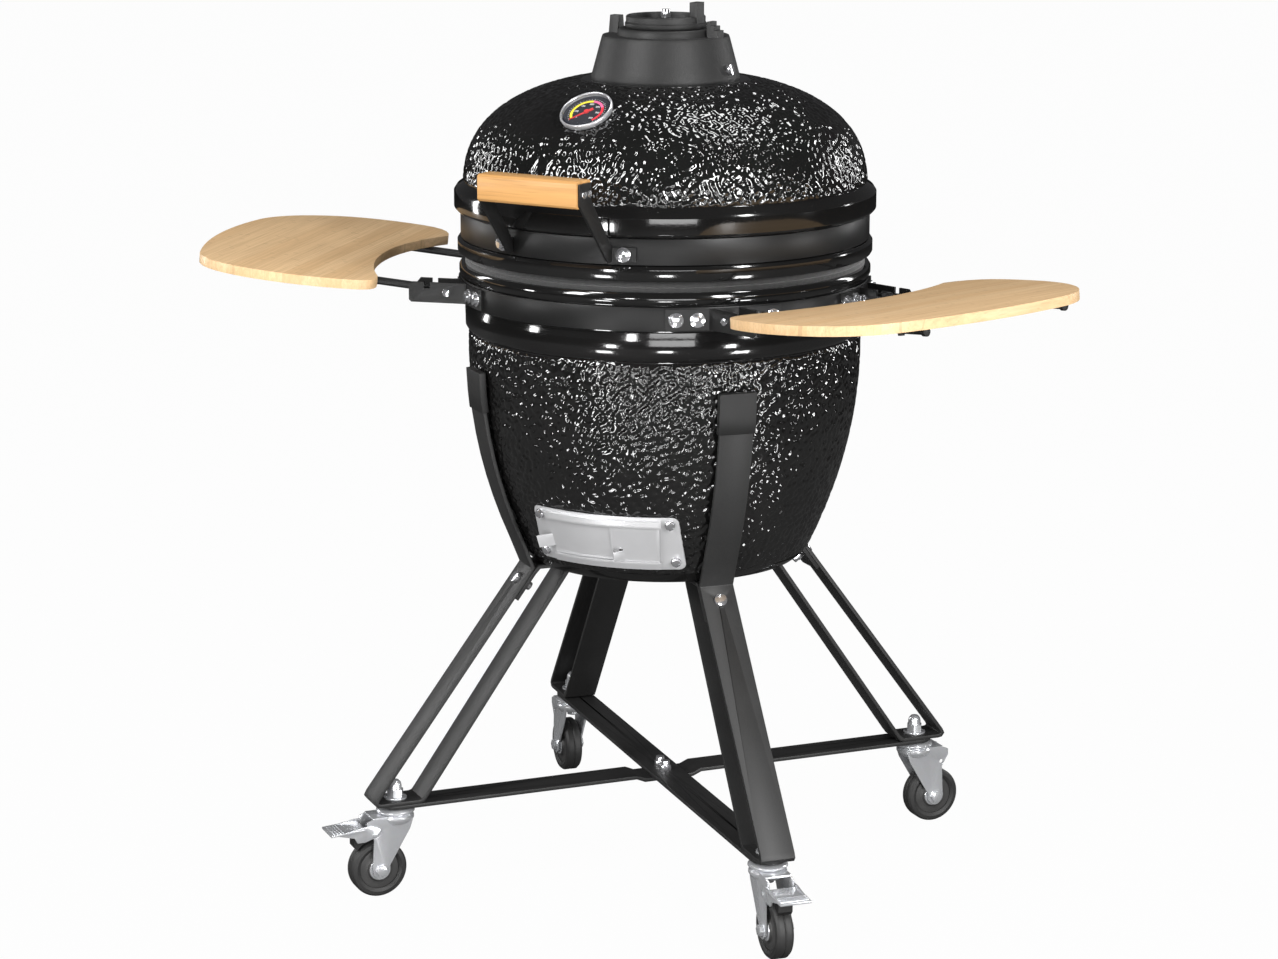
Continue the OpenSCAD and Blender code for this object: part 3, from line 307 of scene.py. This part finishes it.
def bamboo(name, turn, pale, warm, strip, grain_axis):
    """Laminated bamboo: strips of differing tone, long fibres and darker knuckle dashes.

    turn is the Z rotation from the object's frame to the board's own frame, where the grain runs
    along grain_axis ("X" or "Y") and the strips lie side by side on the other axis."""
    g = Graph(name, Specular_IOR_Level=0.35, Coat_Weight=0.12, Coat_Roughness=0.25)
    local = g.add("Mapping", 0, None, Vector=g.coords, Rotation=(0.0, 0.0, math.radians(turn)))
    parts = g.tree.nodes.new("ShaderNodeSeparateXYZ")
    g.feed(parts, {0: local})
    across, along = (parts.outputs[1], parts.outputs[0]) if grain_axis == "X" else (
        parts.outputs[0], parts.outputs[1])
    index = g.math("FLOOR", g.math("DIVIDE", across, strip))
    whites = g.add("TexWhiteNoise", 0, {"noise_dimensions": "1D"}, W=index)
    lamella = g.math("FLOOR", g.math("DIVIDE", across, strip / 4))
    thin = g.add("TexWhiteNoise", 0, {"noise_dimensions": "1D"}, W=g.math("ADD", lamella, 0.37))
    stretch = (6.0, 420.0, 160.0) if grain_axis == "X" else (420.0, 6.0, 160.0)
    fibre = g.noise(1.0, 4.0, 0.62, g.stretched(stretch, local))
    vessel = g.noise(1.0, 2.0, 0.5, g.stretched(tuple(v * 2.6 for v in stretch), local))
    colour = g.mix(whites, pale, warm)
    colour = g.mix(g.math("MULTIPLY", thin, 0.35), colour, tuple(c * 0.88 for c in warm))
    streak = g.ramp(fibre, (0.40, (0, 0, 0)), (0.72, (1, 1, 1)))
    colour = g.mix(g.math("MULTIPLY", streak, 0.55), colour, tuple(c * 0.66 for c in warm))
    fleck = g.ramp(vessel, (0.60, (0, 0, 0)), (0.70, (1, 1, 1)))
    colour = g.mix(g.math("MULTIPLY", fleck, 0.32), colour, tuple(c * 0.45 for c in warm))
    # Knuckles: one short dark dash on each lamella at its own place along the grain
    shift = g.math("MULTIPLY", thin, 7.3)
    place = g.math("FRACT", g.math("ADD", g.math("DIVIDE", along, 0.23), shift))
    dash = g.math("LESS_THAN", g.math("ABSOLUTE", g.math("SUBTRACT", place, 0.5)), 0.007)
    colour = g.mix(g.math("MULTIPLY", dash, 0.45), colour, tuple(c * 0.55 for c in warm))
    seam = g.math("FRACT", g.math("DIVIDE", across, strip))
    seam = g.math("LESS_THAN", seam, 0.018)
    colour = g.mix(g.math("MULTIPLY", seam, 0.4), colour, tuple(c * 0.6 for c in warm))
    normal = g.bump(fibre, 0.06 * MM, 0.7)
    normal = g.bump(vessel, 0.04 * MM, 0.6, normal)
    return g.finish(Base_Color=colour, Roughness=g.span(fibre, 0.36, 0.55), Normal=normal)


def enamel(name, colour):
    """Printed or enamelled colour with a slight mottle."""
    g = Graph(name, Specular_IOR_Level=0.4)
    mottle = g.noise(900.0, 2.0)
    return g.finish(Base_Color=g.mix(mottle, tuple(c * 0.82 for c in colour), colour),
                    Roughness=g.span(mottle, 0.38, 0.5),
                    Normal=g.bump(mottle, 0.01 * MM, 0.4))


def lens_glass(name):
    g = Graph(name, Alpha=0.015, Specular_IOR_Level=0.05)
    haze = g.noise(60.0, 3.0)
    return g.finish(Base_Color=g.mix(haze, grey(0.85), grey(0.95)),
                    Roughness=g.span(haze, 0.02, 0.08))


def dial_face(name):
    g = Graph(name, Specular_IOR_Level=0.08)
    grain = g.noise(1500.0, 2.0)
    return g.finish(Base_Color=g.mix(grain, (0.003, 0.004, 0.009), (0.007, 0.008, 0.016)),
                    Roughness=g.span(grain, 0.4, 0.55), Normal=g.bump(grain, 0.02 * MM, 0.4))


# ---- Mesh helpers ----

def add_object(name, data):
    """A new object in the scene that shows the given mesh, text, light or camera."""
    thing = bpy.data.objects.new(name, data)
    bpy.context.scene.collection.objects.link(thing)
    return thing


def mesh_object(name, verts, faces, material, smooth=True):
    mesh = bpy.data.meshes.new(name)
    mesh.from_pydata([tuple(v) for v in verts], [], [tuple(f) for f in faces])
    mesh.validate()
    mesh.shade_smooth() if smooth else mesh.shade_flat()
    mesh.materials.append(material)
    return add_object(name, mesh)


def bmesh_object(name, shape, material):
    """A new object from a bmesh."""
    mesh = bpy.data.meshes.new(name)
    shape.to_mesh(mesh)
    shape.free()
    mesh.materials.append(material)
    return add_object(name, mesh)


def edge_finish_group():
    """Node group that shades smooth but keeps edges above an angle sharp."""
    group = bpy.data.node_groups.new("sharp_by_angle", "GeometryNodeTree")
    group.interface.new_socket("Geometry", in_out="INPUT", socket_type="NodeSocketGeometry")
    group.interface.new_socket("Geometry", in_out="OUTPUT", socket_type="NodeSocketGeometry")
    nodes, links = group.nodes, group.links
    start, end = nodes.new("NodeGroupInput"), nodes.new("NodeGroupOutput")
    faces = nodes.new("GeometryNodeSetShadeSmooth")
    edges = nodes.new("GeometryNodeSetShadeSmooth")
    edges.domain = "EDGE"
    angle = nodes.new("GeometryNodeInputMeshEdgeAngle")
    test = nodes.new("FunctionNodeCompare")
    test.operation = "LESS_THAN"
    test.inputs[1].default_value = math.radians(SHARP_ANGLE)
    links.new(start.outputs[0], faces.inputs["Geometry"])
    links.new(faces.outputs[0], edges.inputs["Geometry"])
    links.new(angle.outputs[0], test.inputs[0])
    links.new(test.outputs[0], edges.inputs["Shade Smooth"])
    links.new(edges.outputs[0], end.inputs[0])
    return group


def soften(thing, width, group, segments=2):
    """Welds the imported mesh, rounds its edges by width in millimetres and shades it."""
    weld = thing.modifiers.new("weld", "WELD")
    weld.merge_threshold = WELD_GAP * MM
    if width:
        bevel = thing.modifiers.new("bevel", "BEVEL")
        bevel.width = width * MM
        bevel.segments = segments
        bevel.limit_method = "ANGLE"
        bevel.angle_limit = math.radians(BEVEL_ANGLE)
        bevel.use_clamp_overlap = True
        bevel.harden_normals = False
    shade = thing.modifiers.new("shade", "NODES")
    shade.node_group = group


# ---- Pebbled relief ----

def pebble_field(points, size, seed):
    """Smooth random bumps of one size: a sum of waves in random directions."""
    rng = np.random.default_rng(seed)
    ways = rng.normal(size=(PEBBLE_WAVES, 3))
    ways /= np.linalg.norm(ways, axis=1)[:, None]
    ways *= (2 * math.pi / size) * rng.uniform(*PEBBLE_SPREAD, PEBBLE_WAVES)[:, None]
    phases = rng.uniform(0, 2 * math.pi, PEBBLE_WAVES)
    total = np.zeros(len(points))
    for way, phase in zip(ways, phases):
        total += np.cos(points @ way + phase)
    return total * math.sqrt(2 / PEBBLE_WAVES)


def relief_skin(name, profile, depth_at, keep_face, material, seed):
    """A pebbled skin over a turned surface. profile is an (n, 2) array of radius and height,
    depth_at gives the relief's depth for angle and height, keep_face drops holes."""
    edges = np.linalg.norm(np.diff(profile, axis=0), axis=1)
    run = np.concatenate([[0], np.cumsum(edges)])
    rows = int(run[-1] / RELIEF_STEP)
    at = np.linspace(0, run[-1], rows + 1)
    radius, height = np.interp(at, run, profile[:, 0]), np.interp(at, run, profile[:, 1])
    slope = np.stack([np.gradient(radius, at), np.gradient(height, at)], 1)
    slope /= np.linalg.norm(slope, axis=1)[:, None]
    normal = np.stack([slope[:, 1], -slope[:, 0]], 1)
    turn = np.linspace(0, 2 * math.pi, RELIEF_COLUMNS, endpoint=False)
    t, r = np.meshgrid(turn, radius)
    z = np.repeat(height[:, None], RELIEF_COLUMNS, 1)
    out = np.repeat(normal[:, 0][:, None], RELIEF_COLUMNS, 1)
    up = np.repeat(normal[:, 1][:, None], RELIEF_COLUMNS, 1)
    points = np.stack([r * np.cos(t), r * np.sin(t), z], 2).reshape(-1, 3)
    field = pebble_field(points, PEBBLE_SIZE, seed).reshape(t.shape)
    bumps = 0.5 + 0.5 * np.tanh(PEBBLE_GAIN * field + PEBBLE_BIAS)
    ends = np.minimum(at, run[-1] - at)[:, None]
    fade = np.clip(ends / RELIEF_FADE, 0, 1)
    fade = fade * fade * (3 - 2 * fade)
    lift = (RELIEF_FOOT + bumps * depth_at(t, z)) * fade - RELIEF_TUCK * (1 - fade)
    r, z = r + lift * out, z + lift * up
    verts = np.stack([r * np.cos(t), r * np.sin(t), z], 2).reshape(-1, 3) * MM
    faces = []
    for row in range(rows):
        low, high = row * RELIEF_COLUMNS, (row + 1) * RELIEF_COLUMNS
        middle = (height[row] + height[row + 1]) / 2
        for col in range(RELIEF_COLUMNS):
            if keep_face(turn[col], radius[row], middle):
                nxt = (col + 1) % RELIEF_COLUMNS
                faces.append((low + col, low + nxt, high + nxt, high + col))
    return mesh_object(name, verts, faces, material)


def pot_profile():
    """Radius and height of the pot's outside, from the relief's lower edge up."""
    z = np.linspace(*POT_RELIEF_Z, POT_POINTS)
    drop = np.clip((POT_FULL_Z - z) / POT_CURVE_H, 0, None)
    return np.stack([POT_R - POT_TAPER * drop ** 2, z], 1)


def dome_profile():
    """Radius and height of the dome's outside, from its foot to the neck."""
    foot = math.asin(((DOME_RELIEF_START - DOME_FOOT_Z) / DOME_RISE) ** (DOME_POWER / 2))
    neck = math.acos((NECK_R / DOME_R) ** (DOME_POWER / 2))
    t = np.linspace(foot, neck, DOME_POINTS)
    return np.stack([DOME_R * np.cos(t) ** (2 / DOME_POWER),
                     DOME_FOOT_Z + DOME_RISE * np.sin(t) ** (2 / DOME_POWER)], 1)


def from_door(t):
    """Angle from the middle of the draft door, for an angle about +Z from +X."""
    turned = t + math.pi / 2 - math.radians(DRAFT_TURN)
    return turned - 2 * math.pi * np.round(turned / (2 * math.pi))


def pot_depth(t, z):
    """Depth of the pot's relief, which is shallow behind the draft door's plate."""
    half = DOOR_HALF_W / DOOR_RADIUS
    near = (np.abs(from_door(t)) < half) & (z > DOOR_Z[0]) & (z < DOOR_Z[1])
    return np.where(near, DOOR_RELIEF_DEPTH, RELIEF_DEPTH)


def outside_draft(t, r, z):
    """Whether a face of the pot's relief lies outside the draft opening."""
    turned = float(from_door(t))
    across, front = r * math.sin(turned), math.cos(turned) > 0
    return not (front and abs(across) < DRAFT_HALF_W and DRAFT_Z[0] < z < DRAFT_Z[1])


def make_reliefs(material):
    """Pebbled skins of the pot and of the dome."""
    pot = relief_skin("pot_relief", pot_profile(), pot_depth, outside_draft, material, SEED)
    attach(pot, "base")
    dome = relief_skin("dome_relief", dome_profile(), lambda t, z: RELIEF_DEPTH,
                       lambda t, r, z: True, material, SEED + 1)
    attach(dome, "lid")


# ---- Thermometer face ----

def dial_frame(joints):
    """Matrix whose origin is the middle of the dial, +Z out of its face and +Y up it."""
    joint = next(j for j in joints if j["name"] == "needle_turn")
    out = -Vector(joint["axis"])
    right = Vector((1, 0, 0))
    up = out.cross(right)
    turn = Matrix((right, up, out)).transposed().to_4x4()
    return Matrix.Translation(Vector(joint["pos_m"])) @ turn


def ring_sector(name, frame, r_in, r_out, low, high, base, top, material, body):
    """A flat raised arc between two angles in degrees, closed all round."""
    steps = max(2, int(abs(high - low) / 4))
    verts, faces = [], []
    for i in range(steps + 1):
        a = math.radians(low + (high - low) * i / steps)
        for r, h in ((r_in, base), (r_out, base), (r_out, top), (r_in, top)):
            verts.append(frame @ Vector((r * math.cos(a) * MM, r * math.sin(a) * MM, h * MM)))
    for i in range(steps):
        a, b = 4 * i, 4 * i + 4
        faces += [(a + k, a + (k + 1) % 4, b + (k + 1) % 4, b + k) for k in range(4)]
    faces += [(3, 2, 1, 0), tuple(4 * steps + k for k in range(4))]
    piece = mesh_object(name, verts, faces, material, smooth=False)
    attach(piece, body)
    return piece


def make_dial(joints):
    """Printed arcs, marks and numbers of the thermometer, and its domed lens."""
    frame = dial_frame(joints)
    for name, colour, start, end in ARCS:
        ring_sector("dial_arc_" + name, frame, *ARC_RADII, DIAL_LOW + DIAL_SWEEP * start,
                    DIAL_LOW + DIAL_SWEEP * end, 0.0, ARC_HEIGHT,
                    enamel("print_" + name, colour), "lid")
    pale = enamel("print_white", grey(0.75))
    marks = bmesh.new()
    for i in range(MARK_COUNT):
        a = math.radians(DIAL_LOW + DIAL_SWEEP * i / (MARK_COUNT - 1))
        outline = MARK_SHORT if i % MARK_LONG_EVERY else MARK_LONG
        place = (frame @ Matrix.Rotation(a, 4, "Z") @ Matrix.Scale(MM, 4)
                 @ Matrix.Translation((MARK_RADIUS, 0, MARK_LIFT))
                 @ Matrix.Diagonal((*outline, MARK_THICK, 1.0)))
        bmesh.ops.create_cube(marks, size=1.0, matrix=place)
    piece = bmesh_object("dial_marks", marks, pale)
    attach(piece, "lid")
    for i in range(NUMBER_COUNT):
        a = math.radians(DIAL_LOW + DIAL_SWEEP * i / (NUMBER_COUNT - 1))
        text = bpy.data.curves.new("dial_number", "FONT")
        text.body = str(NUMBER_STEP * (i + 1))
        text.size = NUMBER_SIZE * MM
        text.extrude = NUMBER_THICK * MM
        text.align_x = text.align_y = "CENTER"
        text.materials.append(pale)
        number = add_object(f"dial_number_{i + 1}", text)
        number.matrix_world = frame @ Matrix.Translation(
            (NUMBER_RADIUS * MM * math.cos(a), NUMBER_RADIUS * MM * math.sin(a),
             NUMBER_LIFT * MM))
        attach(number, "lid")
    rings, columns = LENS_RINGS, LENS_COLUMNS
    verts, faces = [frame @ Vector((0, 0, (LENS_EDGE + LENS_RISE) * MM))], []
    for ring in range(1, rings + 1):
        r = LENS_RADIUS * ring / rings
        h = LENS_EDGE + LENS_RISE * (1 - (ring / rings) ** 2)
        verts += [frame @ Vector((r * math.cos(a) * MM, r * math.sin(a) * MM, h * MM))
                  for a in (2 * math.pi * k / columns for k in range(columns))]
    for k in range(columns):
        nxt = (k + 1) % columns
        faces.append((0, 1 + k, 1 + nxt))
        for ring in range(rings - 1):
            a, b = 1 + ring * columns, 1 + (ring + 1) * columns
            faces.append((a + k, b + k, b + nxt, a + nxt))
    lens = mesh_object("dial_lens", verts, faces, lens_glass("lens_glass"))
    thick = lens.modifiers.new("thick", "SOLIDIFY")
    thick.thickness = LENS_THICK * MM
    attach(lens, "lid")


# ---- Small parts of the casters ----

def caster_frame(joints, corner):
    """Matrix with its origin on the floor under a caster's stem, +X toward its wheel."""
    stem = Vector(next(j for j in joints if j["name"] == "swivel_" + corner)["pos_m"])
    axle = Vector(next(j for j in joints if j["name"] == "roll_" + corner)["pos_m"])
    out = Vector((axle.x - stem.x, axle.y - stem.y, 0)).normalized()
    up = Vector((0, 0, 1))
    turn = Matrix((out, up.cross(out), up)).transposed().to_4x4()
    return Matrix.Translation((stem.x, stem.y, 0)) @ turn @ Matrix.Scale(MM, 4)


def turned_piece(name, place, profile, material, body, columns=40):
    """A ring turned round the Y axis of place, from closed (radius, across) points."""
    verts, faces = [], []
    count = len(profile)
    for k in range(columns):
        a = 2 * math.pi * k / columns
        verts += [place @ Vector((r * math.cos(a), y, r * math.sin(a))) for r, y in profile]
    for k in range(columns):
        low, high = k * count, (k + 1) % columns * count
        faces += [(low + i, low + (i + 1) % count, high + (i + 1) % count, high + i)
                  for i in range(count)]
    piece = mesh_object(name, verts, faces, material, smooth=False)
    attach(piece, body)


def make_caster_details(joints, zinc):
    """Bright bearing discs on the hubs, and the tread ridges and pads of the foot brakes."""
    black = rubber("pad_black", 0.008, 0.014, 0.45)
    for corner in CORNERS:
        place = caster_frame(joints, corner)
        hub = place @ Matrix.Translation((AXLE_AT[0], 0, AXLE_AT[1]))
        for side, name in ((1, "outer"), (-1, "inner")):
            ring = [(r, side * y) for r, y in HUB_DISC]
            turned_piece(f"hub_disc_{corner}_{name}", hub, ring, zinc, "wheel_" + corner)
    for corner in FRONT_CORNERS:
        place = caster_frame(joints, corner)
        ridges = bmesh.new()
        for k in range(RIDGE_COUNT):
            x = RIDGE_START + RIDGE_STEP * k
            z = TREAD_HIGH - (x - TREAD_START) * TREAD_FALL
            bmesh.ops.create_cube(ridges, size=1.0, matrix=place @ Matrix.Translation(
                (x, 0, z)) @ Matrix.Diagonal((*RIDGE_SIZE, 1.0)))
        piece = bmesh_object("brake_ridges_" + corner, ridges, zinc)
        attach(piece, "pedal_" + corner)
        count = len(PAD_OUTLINE)
        verts = [place @ Vector((x, y, z)) for y in (-PAD_HALF_W, PAD_HALF_W)
                 for x, z in PAD_OUTLINE]
        faces = [(i, (i + 1) % count, (i + 1) % count + count, i + count) for i in range(count)]
        faces += [tuple(reversed(range(count))), tuple(range(count, 2 * count))]
        pad = mesh_object("brake_pad_" + corner, verts, faces, black, smooth=False)
        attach(pad, "pedal_" + corner)


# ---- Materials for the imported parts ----

def dress(frame):
    """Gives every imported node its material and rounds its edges; returns the zinc."""
    group = edge_finish_group()
    gloss = glaze("glaze_smooth", 0.09, 0.05)
    stand = powder_coat("stand_coat", 0.009, 0.020, 0.44, 1000.0, 0.02, 0.42)
    band = powder_coat("band_coat", 0.004, 0.008, 0.36, 1100.0, 0.02, 0.28)
    bracket = powder_coat("bracket_coat", 0.005, 0.009, 0.40, shine=0.35)
    cap = rubber("cap_black", 0.006, 0.010, 0.50, 1300.0)
    iron = cast_iron("vent_iron")
    zinc = plated("zinc_plate", (0.66, 0.67, 0.69), 0.22, 0.68)
    bolt = plated("bolt_plate", (0.74, 0.74, 0.76), 0.13, 0.9)
    hub = rubber("hub_grey", 0.028, 0.05, 0.42, 700.0)
    tyre = rubber("tyre_black")
    steel = brushed("door_steel", (0.64, 0.64, 0.65), 0.26, 0.36, (40.0, 40.0, 1500.0), 0.04, 0.55)
    looks = {
        "base_shell": (gloss, 0.8), "lid_shell": (gloss, 0.8),
        "fire_box": (fired_clay("fired_clay"), 1.5),
        "charcoal_grate": (cast_iron("grate_iron", 0.03, 0.06), 0.8),
        "cooking_grate": (brushed("grate_steel", (0.6, 0.6, 0.6), 0.2, 0.35, (60, 900, 900)), 0),
        "base_gasket": (felt("felt_base"), 0.8), "lid_gasket": (felt("felt_lid"), 0.8),
        "lower_band": (band, 0.5), "upper_band": (band, 0.5),
        "brackets_left": (bracket, 0.4), "brackets_right": (bracket, 0.4),
        "hinge_lower": (bracket, 0.4), "hinge_upper": (bracket, 0.4),
        "handle_bracket_l": (bracket, 0.4), "handle_bracket_r": (bracket, 0.4),
        "leg_fl": (stand, 0.7), "leg_fr": (stand, 0.7), "leg_br": (stand, 0.7),
        "leg_bl": (stand, 0.7), "brace_upper": (stand, 0.6), "brace_lower": (stand, 0.6),
        "strap_caps": (cap, 0.6), "door_frame": (steel, 0.2), "door_left": (steel, 0.2),
        "door_right": (steel, 0.2), "vent_base": (iron, 0.9), "vent_wheel": (iron, 0.8),
        "gauge_case": (brushed("gauge_chrome", (0.62, 0.62, 0.64), 0.26, 0.32, (300, 300, 300),
                               0.0, 0.75), 0.3),
        "gauge_dial": (dial_face("dial_face"), 0),
        "gauge_needle": (enamel("needle_red", (0.62, 0.015, 0.02)), 0),
        "handle_bar": (bamboo("handle_bamboo", 0.0, (0.62, 0.36, 0.14), (0.52, 0.27, 0.09),
                              0.011, "X"), 0.5),
        "shelf_right": (bamboo("bamboo_right", SHELF_TURN, (0.72, 0.50, 0.28),
                               (0.63, 0.41, 0.21), 0.024, "Y"), 2.6),
        "shelf_left": (bamboo("bamboo_left", -SHELF_TURN, (0.72, 0.50, 0.28),
                              (0.63, 0.41, 0.21), 0.024, "Y"), 2.6),
        "rods_left": (bracket, 0.4), "rods_right": (bracket, 0.4),
    }
    for corner in CORNERS:
        looks["fork_" + corner] = (zinc, 0.4)
        looks["tyre_" + corner] = (tyre, 0.4)
        looks["hub_" + corner] = (hub, 0.5)
    for corner in FRONT_CORNERS:
        looks["brake_" + corner] = (zinc, 0.3)
    for name in ("stand_bolts", "door_bolts", "band_bolts", "lid_bolts", "shelf_pins",
                 "handle_screws", "vent_bolts", "vent_stud", "hinge_pin"):
        looks[name] = (bolt, 0.3)
    for name in ("caster_stems", "caster_nuts"):
        looks[name] = (zinc, 0.4)
    for name, thing in frame["nodes"].items():
        material, width = looks[name]
        thing.data.materials.clear()
        thing.data.materials.append(material)
        soften(thing, width, group, 4 if name in ("shelf_left", "shelf_right") else 2)
    return zinc


# ---- Studio ----

def make_floor():
    """Pale floor that looks white to the camera and grey to the object."""
    floor = bmesh.new()
    bmesh.ops.create_circle(floor, cap_ends=True, segments=96, radius=FLOOR_RADIUS)
    g = Graph("floor_paper", Roughness=0.95, Specular_IOR_Level=0.0)
    g.feed(g.shader, {"Base Color": (*grey(FLOOR_TONE), 1.0)})
    out = g.tree.nodes["Material Output"]
    glow = g.add("Emission", 0, None, Color=(1.0, 1.0, 1.0, 1.0), Strength=FLOOR_GLOW)
    path = g.add("LightPath", 0)
    share = g.math("MULTIPLY", path, FLOOR_SHARE)
    mix = g.tree.nodes.new("ShaderNodeMixShader")
    g.feed(mix, {0: share, 1: g.shader.outputs[0], 2: glow})
    g.tree.links.new(mix.outputs[0], out.inputs[0])
    thing = bmesh_object("floor", floor, g.mat)


def area_light(name, at, aim, size, power, shape_y=None):
    """A soft panel at a point, facing aim, that the camera doesn't see."""
    light = bpy.data.lights.new(name, "AREA")
    light.shape = "RECTANGLE"
    light.size, light.size_y = size, shape_y or size
    light.energy = power
    thing = add_object(name, light)
    thing.location = at
    thing.rotation_euler = (Vector(aim) - Vector(at)).to_track_quat("-Z", "Y").to_euler()
    thing.visible_camera = False


def make_world():
    """Even dim sky that looks white to the camera."""
    world = bpy.data.worlds.new("studio")
    bpy.context.scene.world = world
    world.use_nodes = True
    nodes, links = world.node_tree.nodes, world.node_tree.links
    back = nodes["Background"]
    path = nodes.new("ShaderNodeLightPath")
    mix = nodes.new("ShaderNodeMix")
    mix.data_type = "RGBA"
    mix.inputs[6].default_value = SKY_TINT
    mix.inputs[7].default_value = SKY_SEEN
    links.new(path.outputs["Is Camera Ray"], mix.inputs[0])
    links.new(mix.outputs[2], back.inputs["Color"])


def camera_axes():
    """Unit vectors along the view and to its right."""
    turn, pitch = math.radians(CAMERA_TURN), math.radians(CAMERA_PITCH)
    ahead = Vector((-math.sin(turn) * math.cos(pitch), math.cos(turn) * math.cos(pitch),
                    -math.sin(pitch)))
    side = Vector((math.cos(turn), math.sin(turn), 0))
    return ahead, side


def make_camera():
    camera = bpy.data.cameras.new("camera")
    camera.lens, camera.sensor_width = CAMERA_LENS, CAMERA_SENSOR
    camera.shift_x, camera.shift_y = CAMERA_SHIFT
    camera.dof.use_dof = False
    camera.clip_start, camera.clip_end = CAMERA_CLIP
    thing = add_object("camera", camera)
    ahead, side = camera_axes()
    up = side.cross(ahead)
    turn = Matrix((side, up, -ahead)).transposed().to_4x4()
    thing.matrix_world = (Matrix.Translation(CAMERA_AT) @ turn
                          @ Matrix.Rotation(math.radians(CAMERA_ROLL), 4, "Z"))
    bpy.context.scene.camera = thing


def make_lights():
    """Keys, small lights for the glaze's sparkle, and rims, placed as the camera sees them."""
    ahead, side = camera_axes()
    flat = Vector((ahead.x, ahead.y, 0)).normalized()

    def spot(right, back, up):
        return AIM_BODY + side * right - flat * back + Vector((0, 0, up))

    area_light("key_left", spot(-2.3, 1.9, 1.5), AIM_BODY, 0.6, 85, shape_y=1.5)
    area_light("key_right", spot(1.35, 2.3, 0.95), AIM_BODY, 0.42, 60, shape_y=0.95)
    area_light("top", (0.3, 0.6, 3.0), AIM_BODY, 0.7, 20)
    area_light("spark_left", spot(-0.9, 2.7, 0.1), AIM_BODY, 0.22, 7)
    area_light("spark_right", spot(1.9, 1.9, 0.15), AIM_BODY, 0.25, 9)
    area_light("low_left", spot(-1.3, 2.3, -0.5), AIM_BODY, 0.25, 8)
    area_light("low_right", spot(1.5, 2.1, -0.5), AIM_BODY, 0.25, 8)
    area_light("floor_left", spot(-0.8, 1.2, -0.70), AIM_DOOR, 0.22, 4)
    area_light("floor_mid", spot(0.0, 1.7, -0.70), AIM_DOOR, 0.22, 4.5)
    area_light("floor_right", spot(0.9, 1.0, -0.70), AIM_DOOR, 0.22, 4)
    area_light("side_left", spot(-3.0, 0.7, 0.1), AIM_BODY, 0.3, 12)
    area_light("side_right", spot(3.0, 0.6, 0.0), AIM_BODY, 0.3, 14)
    area_light("high_left", spot(-1.3, 1.2, 2.0), AIM_BODY, 0.25, 10)
    area_light("high_right", spot(1.3, 0.8, 2.2), AIM_BODY, 0.25, 8)
    area_light("rim_right", spot(2.8, -1.6, 0.7), AIM_BODY, 0.25, 22, shape_y=1.6)
    area_light("rim_left", spot(-2.6, -1.5, 0.5), AIM_BODY, 0.25, 22, shape_y=1.6)
    area_light("fill_low", spot(0.2, 3.2, -0.2), AIM_STAND, 1.4, 16, shape_y=0.6)


# ---- Build ----

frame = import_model()
zinc = dress(frame)
make_caster_details(frame["joints"], zinc)
make_reliefs(glaze("glaze_pebbled", 0.10, 0.10))
make_dial(frame["joints"])
make_floor()
make_world()
make_camera()
make_lights()
bpy.context.scene.view_settings.view_transform = "Standard"
